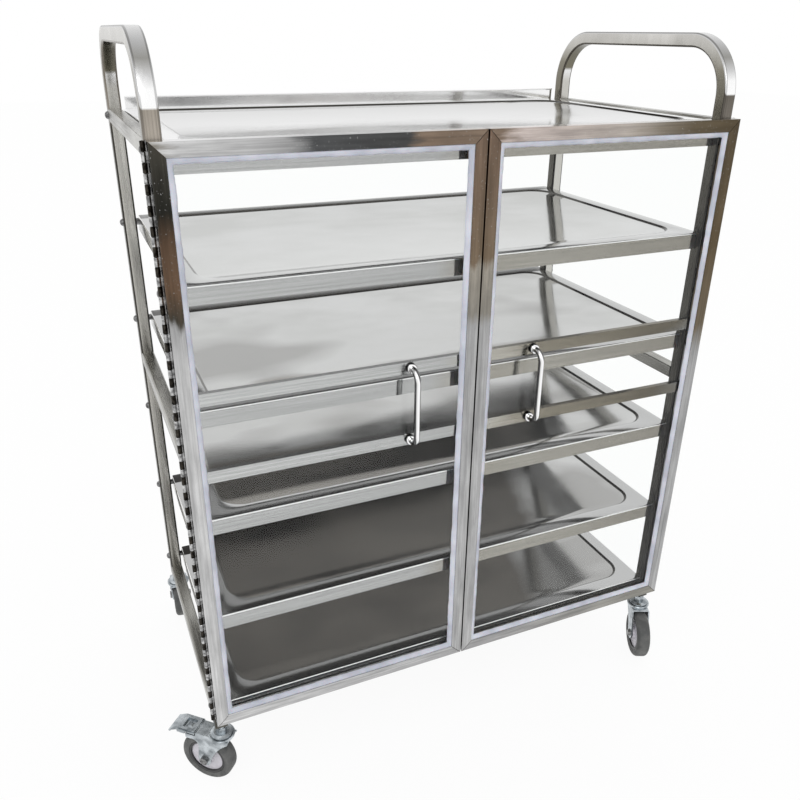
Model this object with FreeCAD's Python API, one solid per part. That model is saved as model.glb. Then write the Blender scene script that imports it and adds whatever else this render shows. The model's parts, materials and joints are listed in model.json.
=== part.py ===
import FreeCAD, Part
import os
import math

os.makedirs("parts", exist_ok=True)
V = FreeCAD.Vector

# Driving dimensions, mm. Z up from the floor, X across the front, front faces -Y.
frame_length = 900.0          # outside of the end posts
frame_depth = 470.0           # front of front post to back of rear post
arch_rise = 125.0             # top shelf deck to top of the arch handles
arch_radius = 92.0            # outer bend radius of the arch
tube = 22.0                   # square tube of the end frames
tube_wall = 1.2
tube_corner = 3.0
top_rail_proud = 2.0          # top rail above the top shelf deck
middle_rail_rise = 510.0      # post bottom to top of the middle rail

shelf_count = 6
shelf_pitch = 177.0
bottom_shelf_rise = 52.0      # post bottom to bottom shelf deck
shelf_skirt = 26.0
top_skirt = 38.0
shelf_end_gap = 4.0           # spacer nut thickness, shelf end to post
shelf_sheet = 1.0
shelf_corner = 4.0
shelf_fold = 2.0              # outer fold radius at the flange
recess_border = 26.0
recess_radius = 40.0
recess_depth = 3.0
upstand_height = 18.0
upstand_bead = 1.5

bolt_drop = 9.0               # bolt centre below the shelf deck
bolt_radius = 3.0
bolt_hole_gap = 0.2
dome_radius = 6.5
dome_height = 5.5
nut_flats = 10.0
nut_bore_gap = 0.1
cap_nut_base = 5.0
cap_nut_dome = 4.6
cap_nut_bore = 8.0
bolt_end_gap = 1.0            # bolt end to the bottom of the cap nut

door_front_gap = 2.0          # hinge leaves sit in this gap
door_tube = 19.0
door_tube_wall = 1.2
door_edge_radius = 1.5
door_side_inset = 2.0         # door edge inside the frame's end face
door_meeting_gap = 2.0
door_bottom_gap = 1.0         # door above the bottom rail
door_top_proud = 3.0          # door above the top shelf deck
mitre_width = 0.4
mitre_depth = 0.5

glass_thickness = 4.0
glass_setback = 6.0
glass_edge_gap = 1.5
seal_width = 8.0
seal_front_width = 3.0
seal_rise = 4.5
seal_corner = 6.0
rail_glass_gap = 0.3          # middle rails behind the pane

pull_centres = 120.0
pull_rise = 520.5             # door bottom to middle of the pull
pull_from_meeting = 106.0
pull_bar_radius = 4.75
pull_reach = 20.0             # door front face to front of the bar
pull_bend = 15.0
pull_foot_radius = 8.0
pull_foot_height = 2.5
pull_screw_radius = 2.5
pull_screw_depth = 11.0
pull_screw_gap = 0.05
pull_screw_head_radius = 4.75
pull_screw_head = 2.4
pull_hole_gap = 0.5
glass_hole_gap = 1.5

hinge_leaf = 0.9
hinge_knuckle_radius = 3.0
hinge_pin_radius = 1.3
hinge_leaf_width = 20.0
hinge_knuckles = 73
hinge_knuckle_gap = 0.3
hinge_strip_gap = 0.5         # leaf to the other leaf's knuckles
hinge_axis_outset = 2.0       # pin axis outside the frame's end face

running_gap = 0.05            # radial, every pin that turns in a bore

wheel_radius = 48.0
tyre_width = 26.0
tyre_thickness = 13.0
tyre_shoulder = 7.0
rim_width = 23.0
rim_ring = 5.0                # raised ring of the core beside the tyre
web_width = 17.0              # core at its rim
web_root_width = 20.0         # core at its boss
hub_boss_radius = 13.0
hub_side_gap = 1.0            # boss to the fork cheek
axle_radius = 5.0
axle_head_radius = 8.0
axle_head = 4.5
caster_trail = 29.0           # swivel axis to axle
fork_side_gap = 2.0           # tyre to the fork cheek
fork_tyre_gap = 4.5           # tyre to the fork crown
fork_sheet = 2.5
fork_bend = 3.5
fork_boss_radius = 12.0
fork_waist = 8.5              # axle to the front edge of the leg
fork_front = 26.0             # crown of a plain fork ahead of the swivel axis
fork_throat = 13.0            # radius where the leg meets the arm
fork_back = 19.0              # crown behind the swivel axis
fork_skirt = 12.0
fork_back_skirt = 4.0
fork_back_bow = 5.0           # hollow of the leg's rear edge
lower_race_radius = 22.0
lower_race_width = 9.0
lower_race_rise = 3.5
lower_race_round = 1.2
stem_radius = 6.0
stem_shoulder_radius = 8.0
stem_hex = 10.0
stem_hex_flats = 17.0
stem_neck = 6.0
stem_head_radius = 9.0
stem_head = 3.0
stem_head_gap = 0.3
stud_radius = 5.0
stud_length = 30.0
stud_gap = 0.1
socket_flange = 2.0
socket_gap = 0.05
socket_length = 32.0
race_gap = 0.8                # between the two races
race_height = 4.7
race_radius = 18.5
race_rim = 2.0                # upright edge of the upper race
race_neck_radius = 13.5
race_sheet = 1.5

pedal_pivot_reach = 27.0      # pedal pin beyond the axle
pedal_pivot_drop = 9.0        # pedal pin below the crown
pedal_pin_radius = 2.0
pedal_barrel_radius = 3.8
pedal_barrel_width = 24.0
pedal_arm_drop = 4.0          # fork arm below the crown, under the pedal
pedal_arm_depth = 9.0
pedal_ear = 6.0               # fork arm beyond the pedal pin
pedal_back = 12.5             # pedal plate behind the pin
pedal_crown_gap = 0.8         # pedal plate to the fork crown
pedal_front = 23.0            # pin to the end of the raised rim
pedal_side_gap = 0.3          # window floor to the fork arms
pedal_lift = 2.5              # plate above the fork arm
pedal_plate = 2.0
pedal_rim_width = 6.0
pedal_rim = 1.5
pedal_edge = 2.0              # raised rim inside the plate's edge
pedal_insert_drop = 1.5       # window floor below the plate
pedal_boss = 5.0              # half width of the raised middle of the window
pedal_flange = 4.5
pedal_flange_start = 8.0
pedal_lip_length = 15.0
pedal_lip_drop = 7.0
pedal_roll_radius = 2.0
brake_gap = 0.4               # shoe to tyre
brake_shoe_width = 16.0
brake_shoe_thickness = 4.0

front_left_heading = 137.0    # degrees from +X, wheel side of the swivel
front_right_heading = -114.0
rear_left_heading = 82.0
rear_right_heading = front_left_heading + 180.0

# Derived heights
fork_crown_top = 2.0 * wheel_radius + fork_tyre_gap + fork_sheet
race_bottom = fork_crown_top + lower_race_rise + race_gap
race_top = race_bottom + race_height
stem_hex_top = race_top + stem_hex
socket_bottom = stem_hex_top + stem_neck
post_bottom = socket_bottom + socket_flange
shelf_levels = []
for shelf_index in range(shelf_count):
    shelf_levels.append(post_bottom + bottom_shelf_rise + shelf_pitch * (shelf_count - 1 - shelf_index))
arch_top = shelf_levels[0] + arch_rise
top_rail_top = shelf_levels[0] + top_rail_proud
middle_rail_top = post_bottom + middle_rail_rise
door_bottom = post_bottom + tube + door_bottom_gap
door_top = shelf_levels[0] + door_top_proud
pull_mid_height = door_bottom + pull_rise

# Derived positions
post_x = frame_length / 2.0 - tube / 2.0
post_y = frame_depth / 2.0 - tube / 2.0
post_inner_x = frame_length / 2.0 - tube
rail_length = frame_depth - 2.0 * tube
shelf_length = 2.0 * (post_inner_x - shelf_end_gap)
door_back = -frame_depth / 2.0 - door_front_gap
door_front = door_back - door_tube
door_outer_x = frame_length / 2.0 - door_side_inset
door_inner_x = door_meeting_gap / 2.0
door_width = door_outer_x - door_inner_x
door_height = door_top - door_bottom
door_mid_x = -(door_outer_x + door_inner_x) / 2.0
door_mid_z = (door_top + door_bottom) / 2.0
opening_width = door_width - 2.0 * door_tube
opening_height = door_height - 2.0 * door_tube
glass_front = door_front + glass_setback
glass_back = glass_front + glass_thickness
hinge_x = -(frame_length / 2.0 + hinge_axis_outset)
hinge_y = -frame_depth / 2.0 - door_front_gap / 2.0
pull_x = -(door_inner_x + pull_from_meeting)
hinge_strip_start = hinge_knuckle_radius + hinge_strip_gap
fork_inner_half = tyre_width / 2.0 + fork_side_gap
fork_outer_half = fork_inner_half + fork_sheet
pedal_pivot_u = caster_trail + pedal_pivot_reach
pedal_pivot_z = fork_crown_top - pedal_pivot_drop
pedal_arm_top = fork_crown_top - pedal_arm_drop
pedal_plate_low = pedal_arm_top + pedal_lift
brake_shoe_reach = math.hypot(pedal_pivot_reach, pedal_pivot_z - wheel_radius) - wheel_radius - brake_gap


def save(name, shape):
    shape.exportStep("parts/" + name + ".step")


def rounded_rectangle(width, height, radius, z):
    x = width / 2.0
    y = height / 2.0
    c = radius * (1.0 - math.sqrt(0.5))
    edges = [
        Part.makeLine(V(-x + radius, -y, z), V(x - radius, -y, z)),
        Part.Arc(V(x - radius, -y, z), V(x - c, -y + c, z), V(x, -y + radius, z)).toShape(),
        Part.makeLine(V(x, -y + radius, z), V(x, y - radius, z)),
        Part.Arc(V(x, y - radius, z), V(x - c, y - c, z), V(x - radius, y, z)).toShape(),
        Part.makeLine(V(x - radius, y, z), V(-x + radius, y, z)),
        Part.Arc(V(-x + radius, y, z), V(-x + c, y - c, z), V(-x, y - radius, z)).toShape(),
        Part.makeLine(V(-x, y - radius, z), V(-x, -y + radius, z)),
        Part.Arc(V(-x, -y + radius, z), V(-x + c, -y + c, z), V(-x + radius, -y, z)).toShape(),
    ]
    return Part.Wire(edges)


def polygon(points):
    closed = [V(*p) for p in points]
    closed.append(closed[0])
    return Part.Wire(Part.makePolygon(closed).Edges)


def prism(wire, direction):
    return Part.Face(wire).extrude(direction)


def revolved(points, axis):
    wire = polygon(points)
    return Part.Face(wire).revolve(V(0, 0, 0), axis, 360.0)


def block(x0, x1, y0, y1, z0, z1):
    return Part.makeBox(x1 - x0, y1 - y0, z1 - z0, V(x0, y0, z0))


def hexagon(flats, thickness):
    corner = flats / math.sqrt(3.0)
    points = []
    for i in range(6):
        angle = math.radians(60.0 * i)
        points.append((corner * math.cos(angle), corner * math.sin(angle), 0.0))
    return prism(polygon(points), V(0, 0, thickness))


def moved(shape, x, y, z):
    copy = shape.copy()
    copy.translate(V(x, y, z))
    return copy


# End frames: one tube bent over the top, both legs are the posts
def arch_tube(side, radius):
    reach = arch_radius - tube / 2.0
    top = arch_top - tube / 2.0
    c = reach * (1.0 - math.sqrt(0.5))
    flat = post_y - reach
    bend = top - reach
    front_bend = Part.Arc(V(0, -post_y, bend), V(0, c - post_y, top - c), V(0, -flat, top))
    rear_bend = Part.Arc(V(0, flat, top), V(0, post_y - c, top - c), V(0, post_y, bend))
    path = Part.Wire([
        Part.makeLine(V(0, -post_y, post_bottom), V(0, -post_y, bend)),
        front_bend.toShape(),
        Part.makeLine(V(0, -flat, top), V(0, flat, top)),
        rear_bend.toShape(),
        Part.makeLine(V(0, post_y, bend), V(0, post_y, post_bottom)),
    ])
    section = rounded_rectangle(side, side, radius, post_bottom)
    section.translate(V(0, -post_y, 0))
    return path.makePipeShell([section], True, False)


def end_frame():
    frame = arch_tube(tube, tube_corner)
    frame = frame.cut(arch_tube(tube - 2.0 * tube_wall, tube_corner - tube_wall))
    holes = []
    for level in shelf_levels:
        for y in (-post_y, post_y):
            start = V(-tube, y, level - bolt_drop)
            holes.append(Part.makeCylinder(bolt_radius + bolt_hole_gap, 2.0 * tube, start, V(1, 0, 0)))
    return frame.cut(Part.makeCompound(holes))


def end_rail(top):
    outer = prism(rounded_rectangle(tube, tube, tube_corner, 0), V(0, 0, rail_length))
    core = rounded_rectangle(tube - 2.0 * tube_wall, tube - 2.0 * tube_wall, tube_corner - tube_wall, 0)
    rail = outer.cut(prism(core, V(0, 0, rail_length)))
    rail.rotate(V(0, 0, 0), V(1, 0, 0), -90.0)
    rail.translate(V(0, -rail_length / 2.0, top - tube / 2.0))
    return rail


# Pressed tray shelf, built with its deck at z 0
def folded_block(inset, skirt, top, corner, fold):
    length = shelf_length - 2.0 * inset
    depth = frame_depth - 2.0 * inset
    body = prism(rounded_rectangle(length, depth, corner, -skirt), V(0, 0, skirt + top))
    rim = []
    for edge in body.Edges:
        if abs(edge.BoundBox.ZMin - top) < 1e-6 and abs(edge.BoundBox.ZMax - top) < 1e-6:
            rim.append(edge)
    return body.makeFillet(fold, rim)


def recess_block(grow, high, low):
    wires = []
    for z in (high, low):
        step = 2.0 * (grow * math.sqrt(2.0) + z)
        length = shelf_length - 2.0 * recess_border + step
        depth = frame_depth - 2.0 * recess_border + step
        wires.append(rounded_rectangle(length, depth, recess_radius + step / 2.0, z))
    return Part.makeLoft(wires, True, True)


def shelf(skirt):
    tray = folded_block(0.0, skirt, 0.0, shelf_corner, shelf_fold)
    tray = tray.cut(recess_block(0.0, 1.0, -recess_depth))
    corner = shelf_corner - shelf_sheet
    fold = shelf_fold - shelf_sheet
    under = folded_block(shelf_sheet, skirt, -shelf_sheet, corner, fold)
    under = under.cut(recess_block(shelf_sheet, 1.0, -recess_depth - shelf_sheet))
    tray = tray.cut(under)
    holes = []
    for x in (-shelf_length / 2.0, shelf_length / 2.0):
        for y in (-post_y, post_y):
            start = V(x - 3.0, y, -bolt_drop)
            holes.append(Part.makeCylinder(bolt_radius + bolt_hole_gap, 6.0, start, V(1, 0, 0)))
    return tray.cut(Part.makeCompound(holes))


def upstand():
    back = frame_depth / 2.0
    half = shelf_length / 2.0 - shelf_corner
    plate = block(-half, half, back - shelf_sheet, back, -shelf_fold - 1.0, upstand_height)
    start = V(-half, back - upstand_bead, upstand_height)
    bead = Part.makeCylinder(upstand_bead, 2.0 * half, start, V(1, 0, 0))
    return plate.fuse(bead)


# Fasteners, built along +Z
def dome_bolt(length):
    rise = (dome_radius ** 2 - dome_height ** 2) / (2.0 * dome_height)
    sphere = math.hypot(dome_radius, rise)
    angle = math.atan2(rise, dome_radius)
    half = (angle + math.pi / 2.0) / 2.0
    middle = V(sphere * math.cos(half), 0, sphere * math.sin(half) - rise)
    edges = [
        Part.makeLine(V(0, 0, dome_height), V(0, 0, -length)),
        Part.makeLine(V(0, 0, -length), V(bolt_radius, 0, -length)),
        Part.makeLine(V(bolt_radius, 0, -length), V(bolt_radius, 0, 0)),
        Part.makeLine(V(bolt_radius, 0, 0), V(dome_radius, 0, 0)),
        Part.Arc(V(dome_radius, 0, 0), middle, V(0, 0, dome_height)).toShape(),
    ]
    return Part.Face(Part.Wire(edges)).revolve(V(0, 0, 0), V(0, 0, 1), 360.0)


def spacer_nut():
    hole = Part.makeCylinder(bolt_radius + nut_bore_gap, shelf_end_gap)
    return hexagon(nut_flats, shelf_end_gap).cut(hole)


def cap_nut():
    crown = Part.makeSphere(cap_nut_dome, V(0, 0, cap_nut_base), V(0, 0, 1), 0.0, 90.0, 360.0)
    body = hexagon(nut_flats, cap_nut_base).fuse(crown).removeSplitter()
    return body.cut(Part.makeCylinder(bolt_radius + nut_bore_gap, cap_nut_bore))


def at_every_joint(shape, offset, inward):
    group = []
    for level in shelf_levels:
        for y in (-post_y, post_y):
            for side in (-1.0, 1.0):
                copy = shape.copy()
                turn = 90.0 * side
                if inward:
                    turn = -turn
                copy.rotate(V(0, 0, 0), V(0, 1, 0), turn)
                copy.translate(V(side * offset, y, level - bolt_drop))
                group.append(copy)
    return Part.makeCompound(group)


# Casters. Local frame: swivel axis on Z, wheel to +X, axle along Y
def caster_stem():
    head_top = fork_crown_top - fork_sheet - stem_head_gap
    profile = [
        (0, 0, head_top - stem_head),
        (stem_head_radius, 0, head_top - stem_head),
        (stem_head_radius, 0, head_top),
        (stem_radius, 0, head_top),
        (stem_radius, 0, race_top),
        (stem_shoulder_radius, 0, race_top),
        (stem_shoulder_radius, 0, socket_bottom),
        (stud_radius, 0, socket_bottom),
        (stud_radius, 0, socket_bottom + stud_length),
        (0, 0, socket_bottom + stud_length),
    ]
    stem = revolved(profile, V(0, 0, 1))
    collar = moved(hexagon(stem_hex_flats, stem_hex), 0, 0, race_top)
    return stem.fuse(collar).removeSplitter()


def stem_socket():
    flange = rounded_rectangle(tube, tube, tube_corner, socket_bottom)
    side = tube - 2.0 * tube_wall - 2.0 * socket_gap
    plug = rounded_rectangle(side, side, tube_corner - tube_wall, socket_bottom)
    body = prism(flange, V(0, 0, socket_flange)).fuse(prism(plug, V(0, 0, socket_length)))
    bore = Part.makeCylinder(stud_radius + stud_gap, socket_length, V(0, 0, socket_bottom))
    return body.cut(bore)


def top_race():
    rim_top = race_bottom + race_rim
    inner = race_radius - race_sheet
    profile = [
        (stem_radius, 0, race_top),
        (race_neck_radius, 0, race_top),
        (race_radius, 0, rim_top),
        (race_radius, 0, race_bottom),
        (inner, 0, race_bottom),
        (inner, 0, rim_top - race_sheet / 2.0),
        (race_neck_radius - race_sheet / 2.0, 0, race_top - race_sheet),
        (stem_radius, 0, race_top - race_sheet),
    ]
    return revolved(profile, V(0, 0, 1))


def lower_race():
    inner = lower_race_radius - lower_race_width
    top = fork_crown_top + lower_race_rise
    profile = [
        (inner, 0, fork_crown_top),
        (lower_race_radius, 0, fork_crown_top),
        (lower_race_radius, 0, top - lower_race_round),
        (lower_race_radius - lower_race_round, 0, top),
        (inner, 0, top),
    ]
    return revolved(profile, V(0, 0, 1))


# Outline of the cheeks seen from the side
def cheek_edges(braked):
    crown = fork_crown_top
    skirt = crown - fork_skirt
    tail = crown - fork_back_skirt
    rear = caster_trail - fork_boss_radius
    front = caster_trail + fork_boss_radius
    hub = wheel_radius
    bow = fork_back_bow / math.sqrt(2.0)
    rear_mid = V((rear - fork_back) / 2.0 + bow, 0, (tail + hub) / 2.0 + bow)
    waist = caster_trail + fork_waist
    low = V(caster_trail, 0, hub - fork_boss_radius)
    edges = [
        Part.makeLine(V(-fork_back, 0, crown), V(-fork_back, 0, tail)),
        Part.Arc(V(-fork_back, 0, tail), rear_mid, V(rear, 0, hub)).toShape(),
        Part.Arc(V(rear, 0, hub), low, V(front, 0, hub)).toShape(),
    ]
    if braked:
        arm = waist + fork_throat
        throat = fork_throat * (1.0 - math.sqrt(0.5))
        throat_mid = V(waist + throat, 0, skirt - throat)
        edges.append(Part.makeLine(V(front, 0, hub), V(waist, 0, skirt - fork_throat)))
        edges.append(Part.Arc(V(waist, 0, skirt - fork_throat), throat_mid, V(arm, 0, skirt)).toShape())
        tip = pedal_pivot_u + pedal_ear
        step = pedal_pivot_u - pedal_back - pedal_crown_gap
        arm_low = pedal_arm_top - pedal_arm_depth
        outline = [(arm, skirt), (arm, arm_low), (tip, arm_low), (tip, pedal_arm_top)]
        outline += [(step, pedal_arm_top), (step, crown)]
    else:
        outline = [(front, hub), (waist, hub + fork_boss_radius), (fork_front, crown)]
    outline.append((-fork_back, crown))
    for (start, stop) in zip(outline, outline[1:]):
        edges.append(Part.makeLine(V(start[0], 0, start[1]), V(stop[0], 0, stop[1])))
    return edges


def fork(braked):
    under = fork_crown_top - fork_sheet
    width = 2.0 * fork_outer_half
    far = 2.0 * pedal_pivot_u
    cheek = Part.Wire(cheek_edges(braked))
    cheek.translate(V(0, -fork_outer_half, 0))
    body = prism(cheek, V(0, width, 0))
    bends = []
    for edge in body.Edges:
        box = edge.BoundBox
        if box.ZMin > fork_crown_top - 1e-6 and box.XLength > fork_back:
            bends.append(edge)
    body = body.makeFillet(fork_bend, bends)
    body = body.cut(block(-far, far, -fork_inner_half, fork_inner_half, 0, under))
    body = body.fuse(lower_race())
    body = body.cut(Part.makeCylinder(stem_radius + running_gap, fork_crown_top, V(0, 0, wheel_radius)))
    axle_start = V(caster_trail, -fork_outer_half, wheel_radius)
    body = body.cut(Part.makeCylinder(axle_radius + running_gap, width, axle_start, V(0, 1, 0)))
    if braked:
        pin_start = V(pedal_pivot_u, -fork_outer_half, pedal_pivot_z)
        body = body.fuse(Part.makeCylinder(pedal_pin_radius, width, pin_start, V(0, 1, 0)))
    return body.removeSplitter()


def wheel_axle():
    start = V(caster_trail, -fork_outer_half, wheel_radius)
    shank = Part.makeCylinder(axle_radius, 2.0 * fork_outer_half, start, V(0, 1, 0))
    nut = hexagon(math.sqrt(3.0) * axle_head_radius, axle_head)
    nut.rotate(V(0, 0, 0), V(1, 0, 0), -90.0)
    nut.translate(V(caster_trail, fork_outer_half, wheel_radius))
    head = Part.makeCone(axle_head_radius, axle_radius, axle_head, start, V(0, -1, 0))
    return shank.fuse(nut).fuse(head).removeSplitter()


def wheel_core():
    rim = wheel_radius - tyre_thickness
    side = [
        (axle_radius + running_gap, fork_inner_half - hub_side_gap, 0),
        (hub_boss_radius, fork_inner_half - hub_side_gap, 0),
        (hub_boss_radius + 1.5, web_root_width / 2.0, 0),
        (rim - rim_ring, web_width / 2.0, 0),
        (rim - rim_ring + 1.0, rim_width / 2.0, 0),
        (rim, rim_width / 2.0, 0),
    ]
    other = [(r, -y, z) for (r, y, z) in reversed(side)]
    core = revolved(side + other, V(0, 1, 0))
    return moved(core, caster_trail, 0, wheel_radius)


def wheel_tyre():
    w = tyre_width / 2.0
    rim = wheel_radius - tyre_thickness
    seat = rim_width / 2.0
    shoulder = wheel_radius - tyre_shoulder
    c = tyre_shoulder * (1.0 - math.sqrt(0.5))
    flat = w - tyre_shoulder
    edges = [
        Part.makeLine(V(rim, -seat, 0), V(rim, seat, 0)),
        Part.makeLine(V(rim, seat, 0), V(shoulder, w, 0)),
        Part.Arc(V(shoulder, w, 0), V(wheel_radius - c, w - c, 0), V(wheel_radius, flat, 0)).toShape(),
        Part.makeLine(V(wheel_radius, flat, 0), V(wheel_radius, -flat, 0)),
        Part.Arc(V(wheel_radius, -flat, 0), V(wheel_radius - c, c - w, 0), V(shoulder, -w, 0)).toShape(),
        Part.makeLine(V(shoulder, -w, 0), V(rim, -seat, 0)),
    ]
    tyre = Part.Face(Part.Wire(edges)).revolve(V(0, 0, 0), V(0, 1, 0), 360.0)
    return moved(tyre, caster_trail, 0, wheel_radius)


# The plate tips down about its pin and brings the shoe to the tyre
def pedal_plate_body():
    start = pedal_pivot_u - pedal_back
    end = pedal_pivot_u + pedal_front
    half = fork_outer_half
    low = pedal_plate_low
    high = low + pedal_plate
    plate = block(start, end, -half, half, low, high)
    edge = pedal_edge
    rim = block(start + edge, end - edge, edge - half, half - edge, high, high + pedal_rim)
    inset = edge + pedal_rim_width
    window = block(start + inset, end - inset, inset - half, half - inset, low, high + pedal_rim)
    plate = plate.fuse(rim).cut(window)
    insert_low = low - pedal_insert_drop
    inner = fork_inner_half - pedal_side_gap
    insert = block(start + edge, end - edge, -inner, inner, insert_low, low)
    middle = (start + end) / 2.0
    boss_wires = []
    for (size, z) in ((2.0 * pedal_boss, low), (pedal_boss, high)):
        boss_wires.append(moved(rounded_rectangle(size, size, 1.0, z), middle, 0, 0))
    return plate.fuse(insert).fuse(Part.makeLoft(boss_wires, True, True))


def pedal_lip():
    start = pedal_pivot_u + pedal_front
    end = start + pedal_lip_length
    half = fork_outer_half
    low = pedal_plate_low
    profile = [
        (start, -half, low),
        (end, -half, low - pedal_lip_drop),
        (end, -half, low - pedal_lip_drop + pedal_plate),
        (start, -half, low + pedal_plate),
    ]
    lip = prism(polygon(profile), V(0, 2.0 * half, 0))
    roll_z = low - pedal_lip_drop + pedal_plate - pedal_roll_radius
    roll_start = V(end, -half, roll_z)
    roll = Part.makeCylinder(pedal_roll_radius, 2.0 * half, roll_start, V(0, 1, 0))
    lip = lip.fuse(roll)
    for y in (-half, half - pedal_plate):
        flange_start = pedal_pivot_u + pedal_flange_start
        flange_low = low - pedal_flange
        lip = lip.fuse(block(flange_start, start, y, y + pedal_plate, flange_low, low))
    return lip


def brake_pedal():
    z = pedal_pivot_z
    u = pedal_pivot_u
    half = pedal_barrel_width / 2.0
    pin_start = V(u, -half, z)
    barrel = Part.makeCylinder(pedal_barrel_radius, pedal_barrel_width, pin_start, V(0, 1, 0))
    web = block(u - pedal_barrel_radius, u + pedal_barrel_radius, -half, half, z, pedal_plate_low)
    arm = brake_shoe_thickness / 2.0
    wide = brake_shoe_width / 2.0
    shoe = block(u - arm, u + arm, -wide, wide, z - 2.0 * brake_shoe_reach, z)
    swept = Part.makeCylinder(brake_shoe_reach, pedal_barrel_width, pin_start, V(0, 1, 0))
    body = barrel.fuse(web).fuse(shoe.common(swept)).fuse(pedal_plate_body()).fuse(pedal_lip())
    bore_radius = pedal_pin_radius + running_gap
    bore = Part.makeCylinder(bore_radius, pedal_barrel_width, pin_start, V(0, 1, 0))
    return body.cut(bore).removeSplitter()


def on_post(shape, heading, x, y):
    copy = shape.copy()
    copy.rotate(V(0, 0, 0), V(0, 0, 1), heading)
    copy.translate(V(x, y, 0))
    return copy


def at_corners(shape):
    group = []
    for x in (-post_x, post_x):
        for y in (-post_y, post_y):
            group.append(moved(shape, x, y, 0))
    return Part.makeCompound(group)


# Left door. The right one is its mirror image
def standing(shape):
    copy = shape.copy()
    copy.rotate(V(0, 0, 0), V(1, 0, 0), 90.0)
    return copy


def door_frame():
    x0 = -door_outer_x
    x1 = -door_inner_x
    ring = block(x0, x1, door_front, door_back, door_bottom, door_top)
    t = door_tube
    ring = ring.cut(block(x0 + t, x1 - t, door_front, door_back, door_bottom + t, door_top - t))
    long_edges = []
    for edge in ring.Edges:
        if edge.BoundBox.YLength < 1e-6:
            long_edges.append(edge)
    ring = ring.makeFillet(door_edge_radius, long_edges)
    w = door_tube_wall
    y0 = door_front + w
    y1 = door_back - w
    cavity = block(x0 + w, x1 - w, y0, y1, door_bottom + w, door_top - w)
    cavity = cavity.cut(block(x0 + t - w, x1 - t + w, y0, y1, door_bottom + t - w, door_top - t + w))
    ring = ring.cut(cavity)
    slits = []
    for (x, sx) in ((x0, 1.0), (x1, -1.0)):
        for (z, sz) in ((door_bottom, 1.0), (door_top, -1.0)):
            run = t * math.sqrt(2.0) - 1.0
            half = mitre_width / 2.0
            slit = block(0.5, run, door_front - 1.0, door_front + mitre_depth, -half, half)
            turn = -math.degrees(math.atan2(sz, sx))
            slit.rotate(V(0, 0, 0), V(0, 1, 0), turn)
            slit.translate(V(x, 0, z))
            slits.append(slit)
    return ring.cut(Part.makeCompound(slits))


def door_pane():
    width = opening_width - 2.0 * glass_edge_gap
    height = opening_height - 2.0 * glass_edge_gap
    pane = standing(prism(rounded_rectangle(width, height, 2.0, 0), V(0, 0, glass_thickness)))
    pane.translate(V(door_mid_x, glass_back, door_mid_z))
    return pane.cut(pull_holes(pull_screw_radius + glass_hole_gap, glass_front - 1.0, glass_back + 1.0))


def pull_holes(radius, y0, y1):
    holes = []
    for z in (-0.5, 0.5):
        start = V(pull_x, y0, pull_mid_height + z * pull_centres)
        holes.append(Part.makeCylinder(radius, y1 - y0, start, V(0, 1, 0)))
    return Part.makeCompound(holes)


def door_seal():
    body = block(0, opening_width, 0, seal_rise + glass_thickness, 0, opening_height)
    left = door_mid_x - opening_width / 2.0
    low = door_mid_z - opening_height / 2.0
    body.translate(V(left, glass_front - seal_rise, low))
    wires = []
    front_lip = (seal_front_width, 0.0, seal_corner / 2.0)
    glass_lip = (seal_width, seal_rise, seal_corner)
    for (grow, y, radius) in (front_lip, glass_lip):
        width = opening_width - 2.0 * grow
        height = opening_height - 2.0 * grow
        wires.append(rounded_rectangle(width, height, radius, -y))
    throat = standing(Part.makeLoft(wires, True, True))
    throat.translate(V(door_mid_x, glass_front - seal_rise, door_mid_z))
    width = opening_width - 2.0 * glass_edge_gap
    height = opening_height - 2.0 * glass_edge_gap
    seat = standing(prism(rounded_rectangle(width, height, 2.0, 0), V(0, 0, glass_thickness)))
    seat.translate(V(door_mid_x, glass_back, door_mid_z))
    return body.cut(throat).cut(seat)


def door_mid_rail(z):
    front = glass_back + rail_glass_gap
    w = door_tube_wall
    half = opening_width / 2.0
    low = z - door_tube / 2.0
    rail = block(-half, half, front, door_back, low, low + door_tube)
    hollow = block(-half, half, front + w, door_back - w, low + w, low + door_tube - w)
    rail = rail.cut(hollow)
    rail.translate(V(door_mid_x, 0, 0))
    return rail.cut(pull_holes(pull_screw_radius + pull_hole_gap, glass_back - 1.0, door_back + 1.0))


def door_pull():
    y0 = glass_front
    y1 = door_front - pull_reach + pull_bar_radius
    top = pull_mid_height + pull_centres / 2.0
    low = pull_mid_height - pull_centres / 2.0
    r = pull_bend
    c = r * (1.0 - math.sqrt(0.5))
    x = pull_x
    path = Part.Wire([
        Part.makeLine(V(x, y0, top), V(x, y1 + r, top)),
        Part.Arc(V(x, y1 + r, top), V(x, y1 + c, top - c), V(x, y1, top - r)).toShape(),
        Part.makeLine(V(x, y1, top - r), V(x, y1, low + r)),
        Part.Arc(V(x, y1, low + r), V(x, y1 + c, low + c), V(x, y1 + r, low)).toShape(),
        Part.makeLine(V(x, y1 + r, low), V(x, y0, low)),
    ])
    circle = Part.Wire(Part.makeCircle(pull_bar_radius, V(x, y0, top), V(0, -1, 0)))
    bar = path.makePipeShell([circle], True, False)
    for z in (top, low):
        foot = Part.makeCylinder(pull_foot_radius, pull_foot_height, V(x, y0, z), V(0, -1, 0))
        bar = bar.fuse(foot)
    bores = pull_holes(pull_screw_radius + pull_screw_gap, y0 - pull_screw_depth - 1.0, y0 + 1.0)
    return bar.cut(bores)


def pull_screws():
    shank_start = glass_front - pull_screw_depth
    length = door_back - shank_start
    screws = []
    for z in (-0.5, 0.5):
        height = pull_mid_height + z * pull_centres
        tip = V(pull_x, shank_start, height)
        seat = V(pull_x, door_back, height)
        shank = Part.makeCylinder(pull_screw_radius, length, tip, V(0, 1, 0))
        head = Part.makeCylinder(pull_screw_head_radius, pull_screw_head, seat, V(0, 1, 0))
        screws.append(shank.fuse(head))
    return Part.makeCompound(screws)


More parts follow.
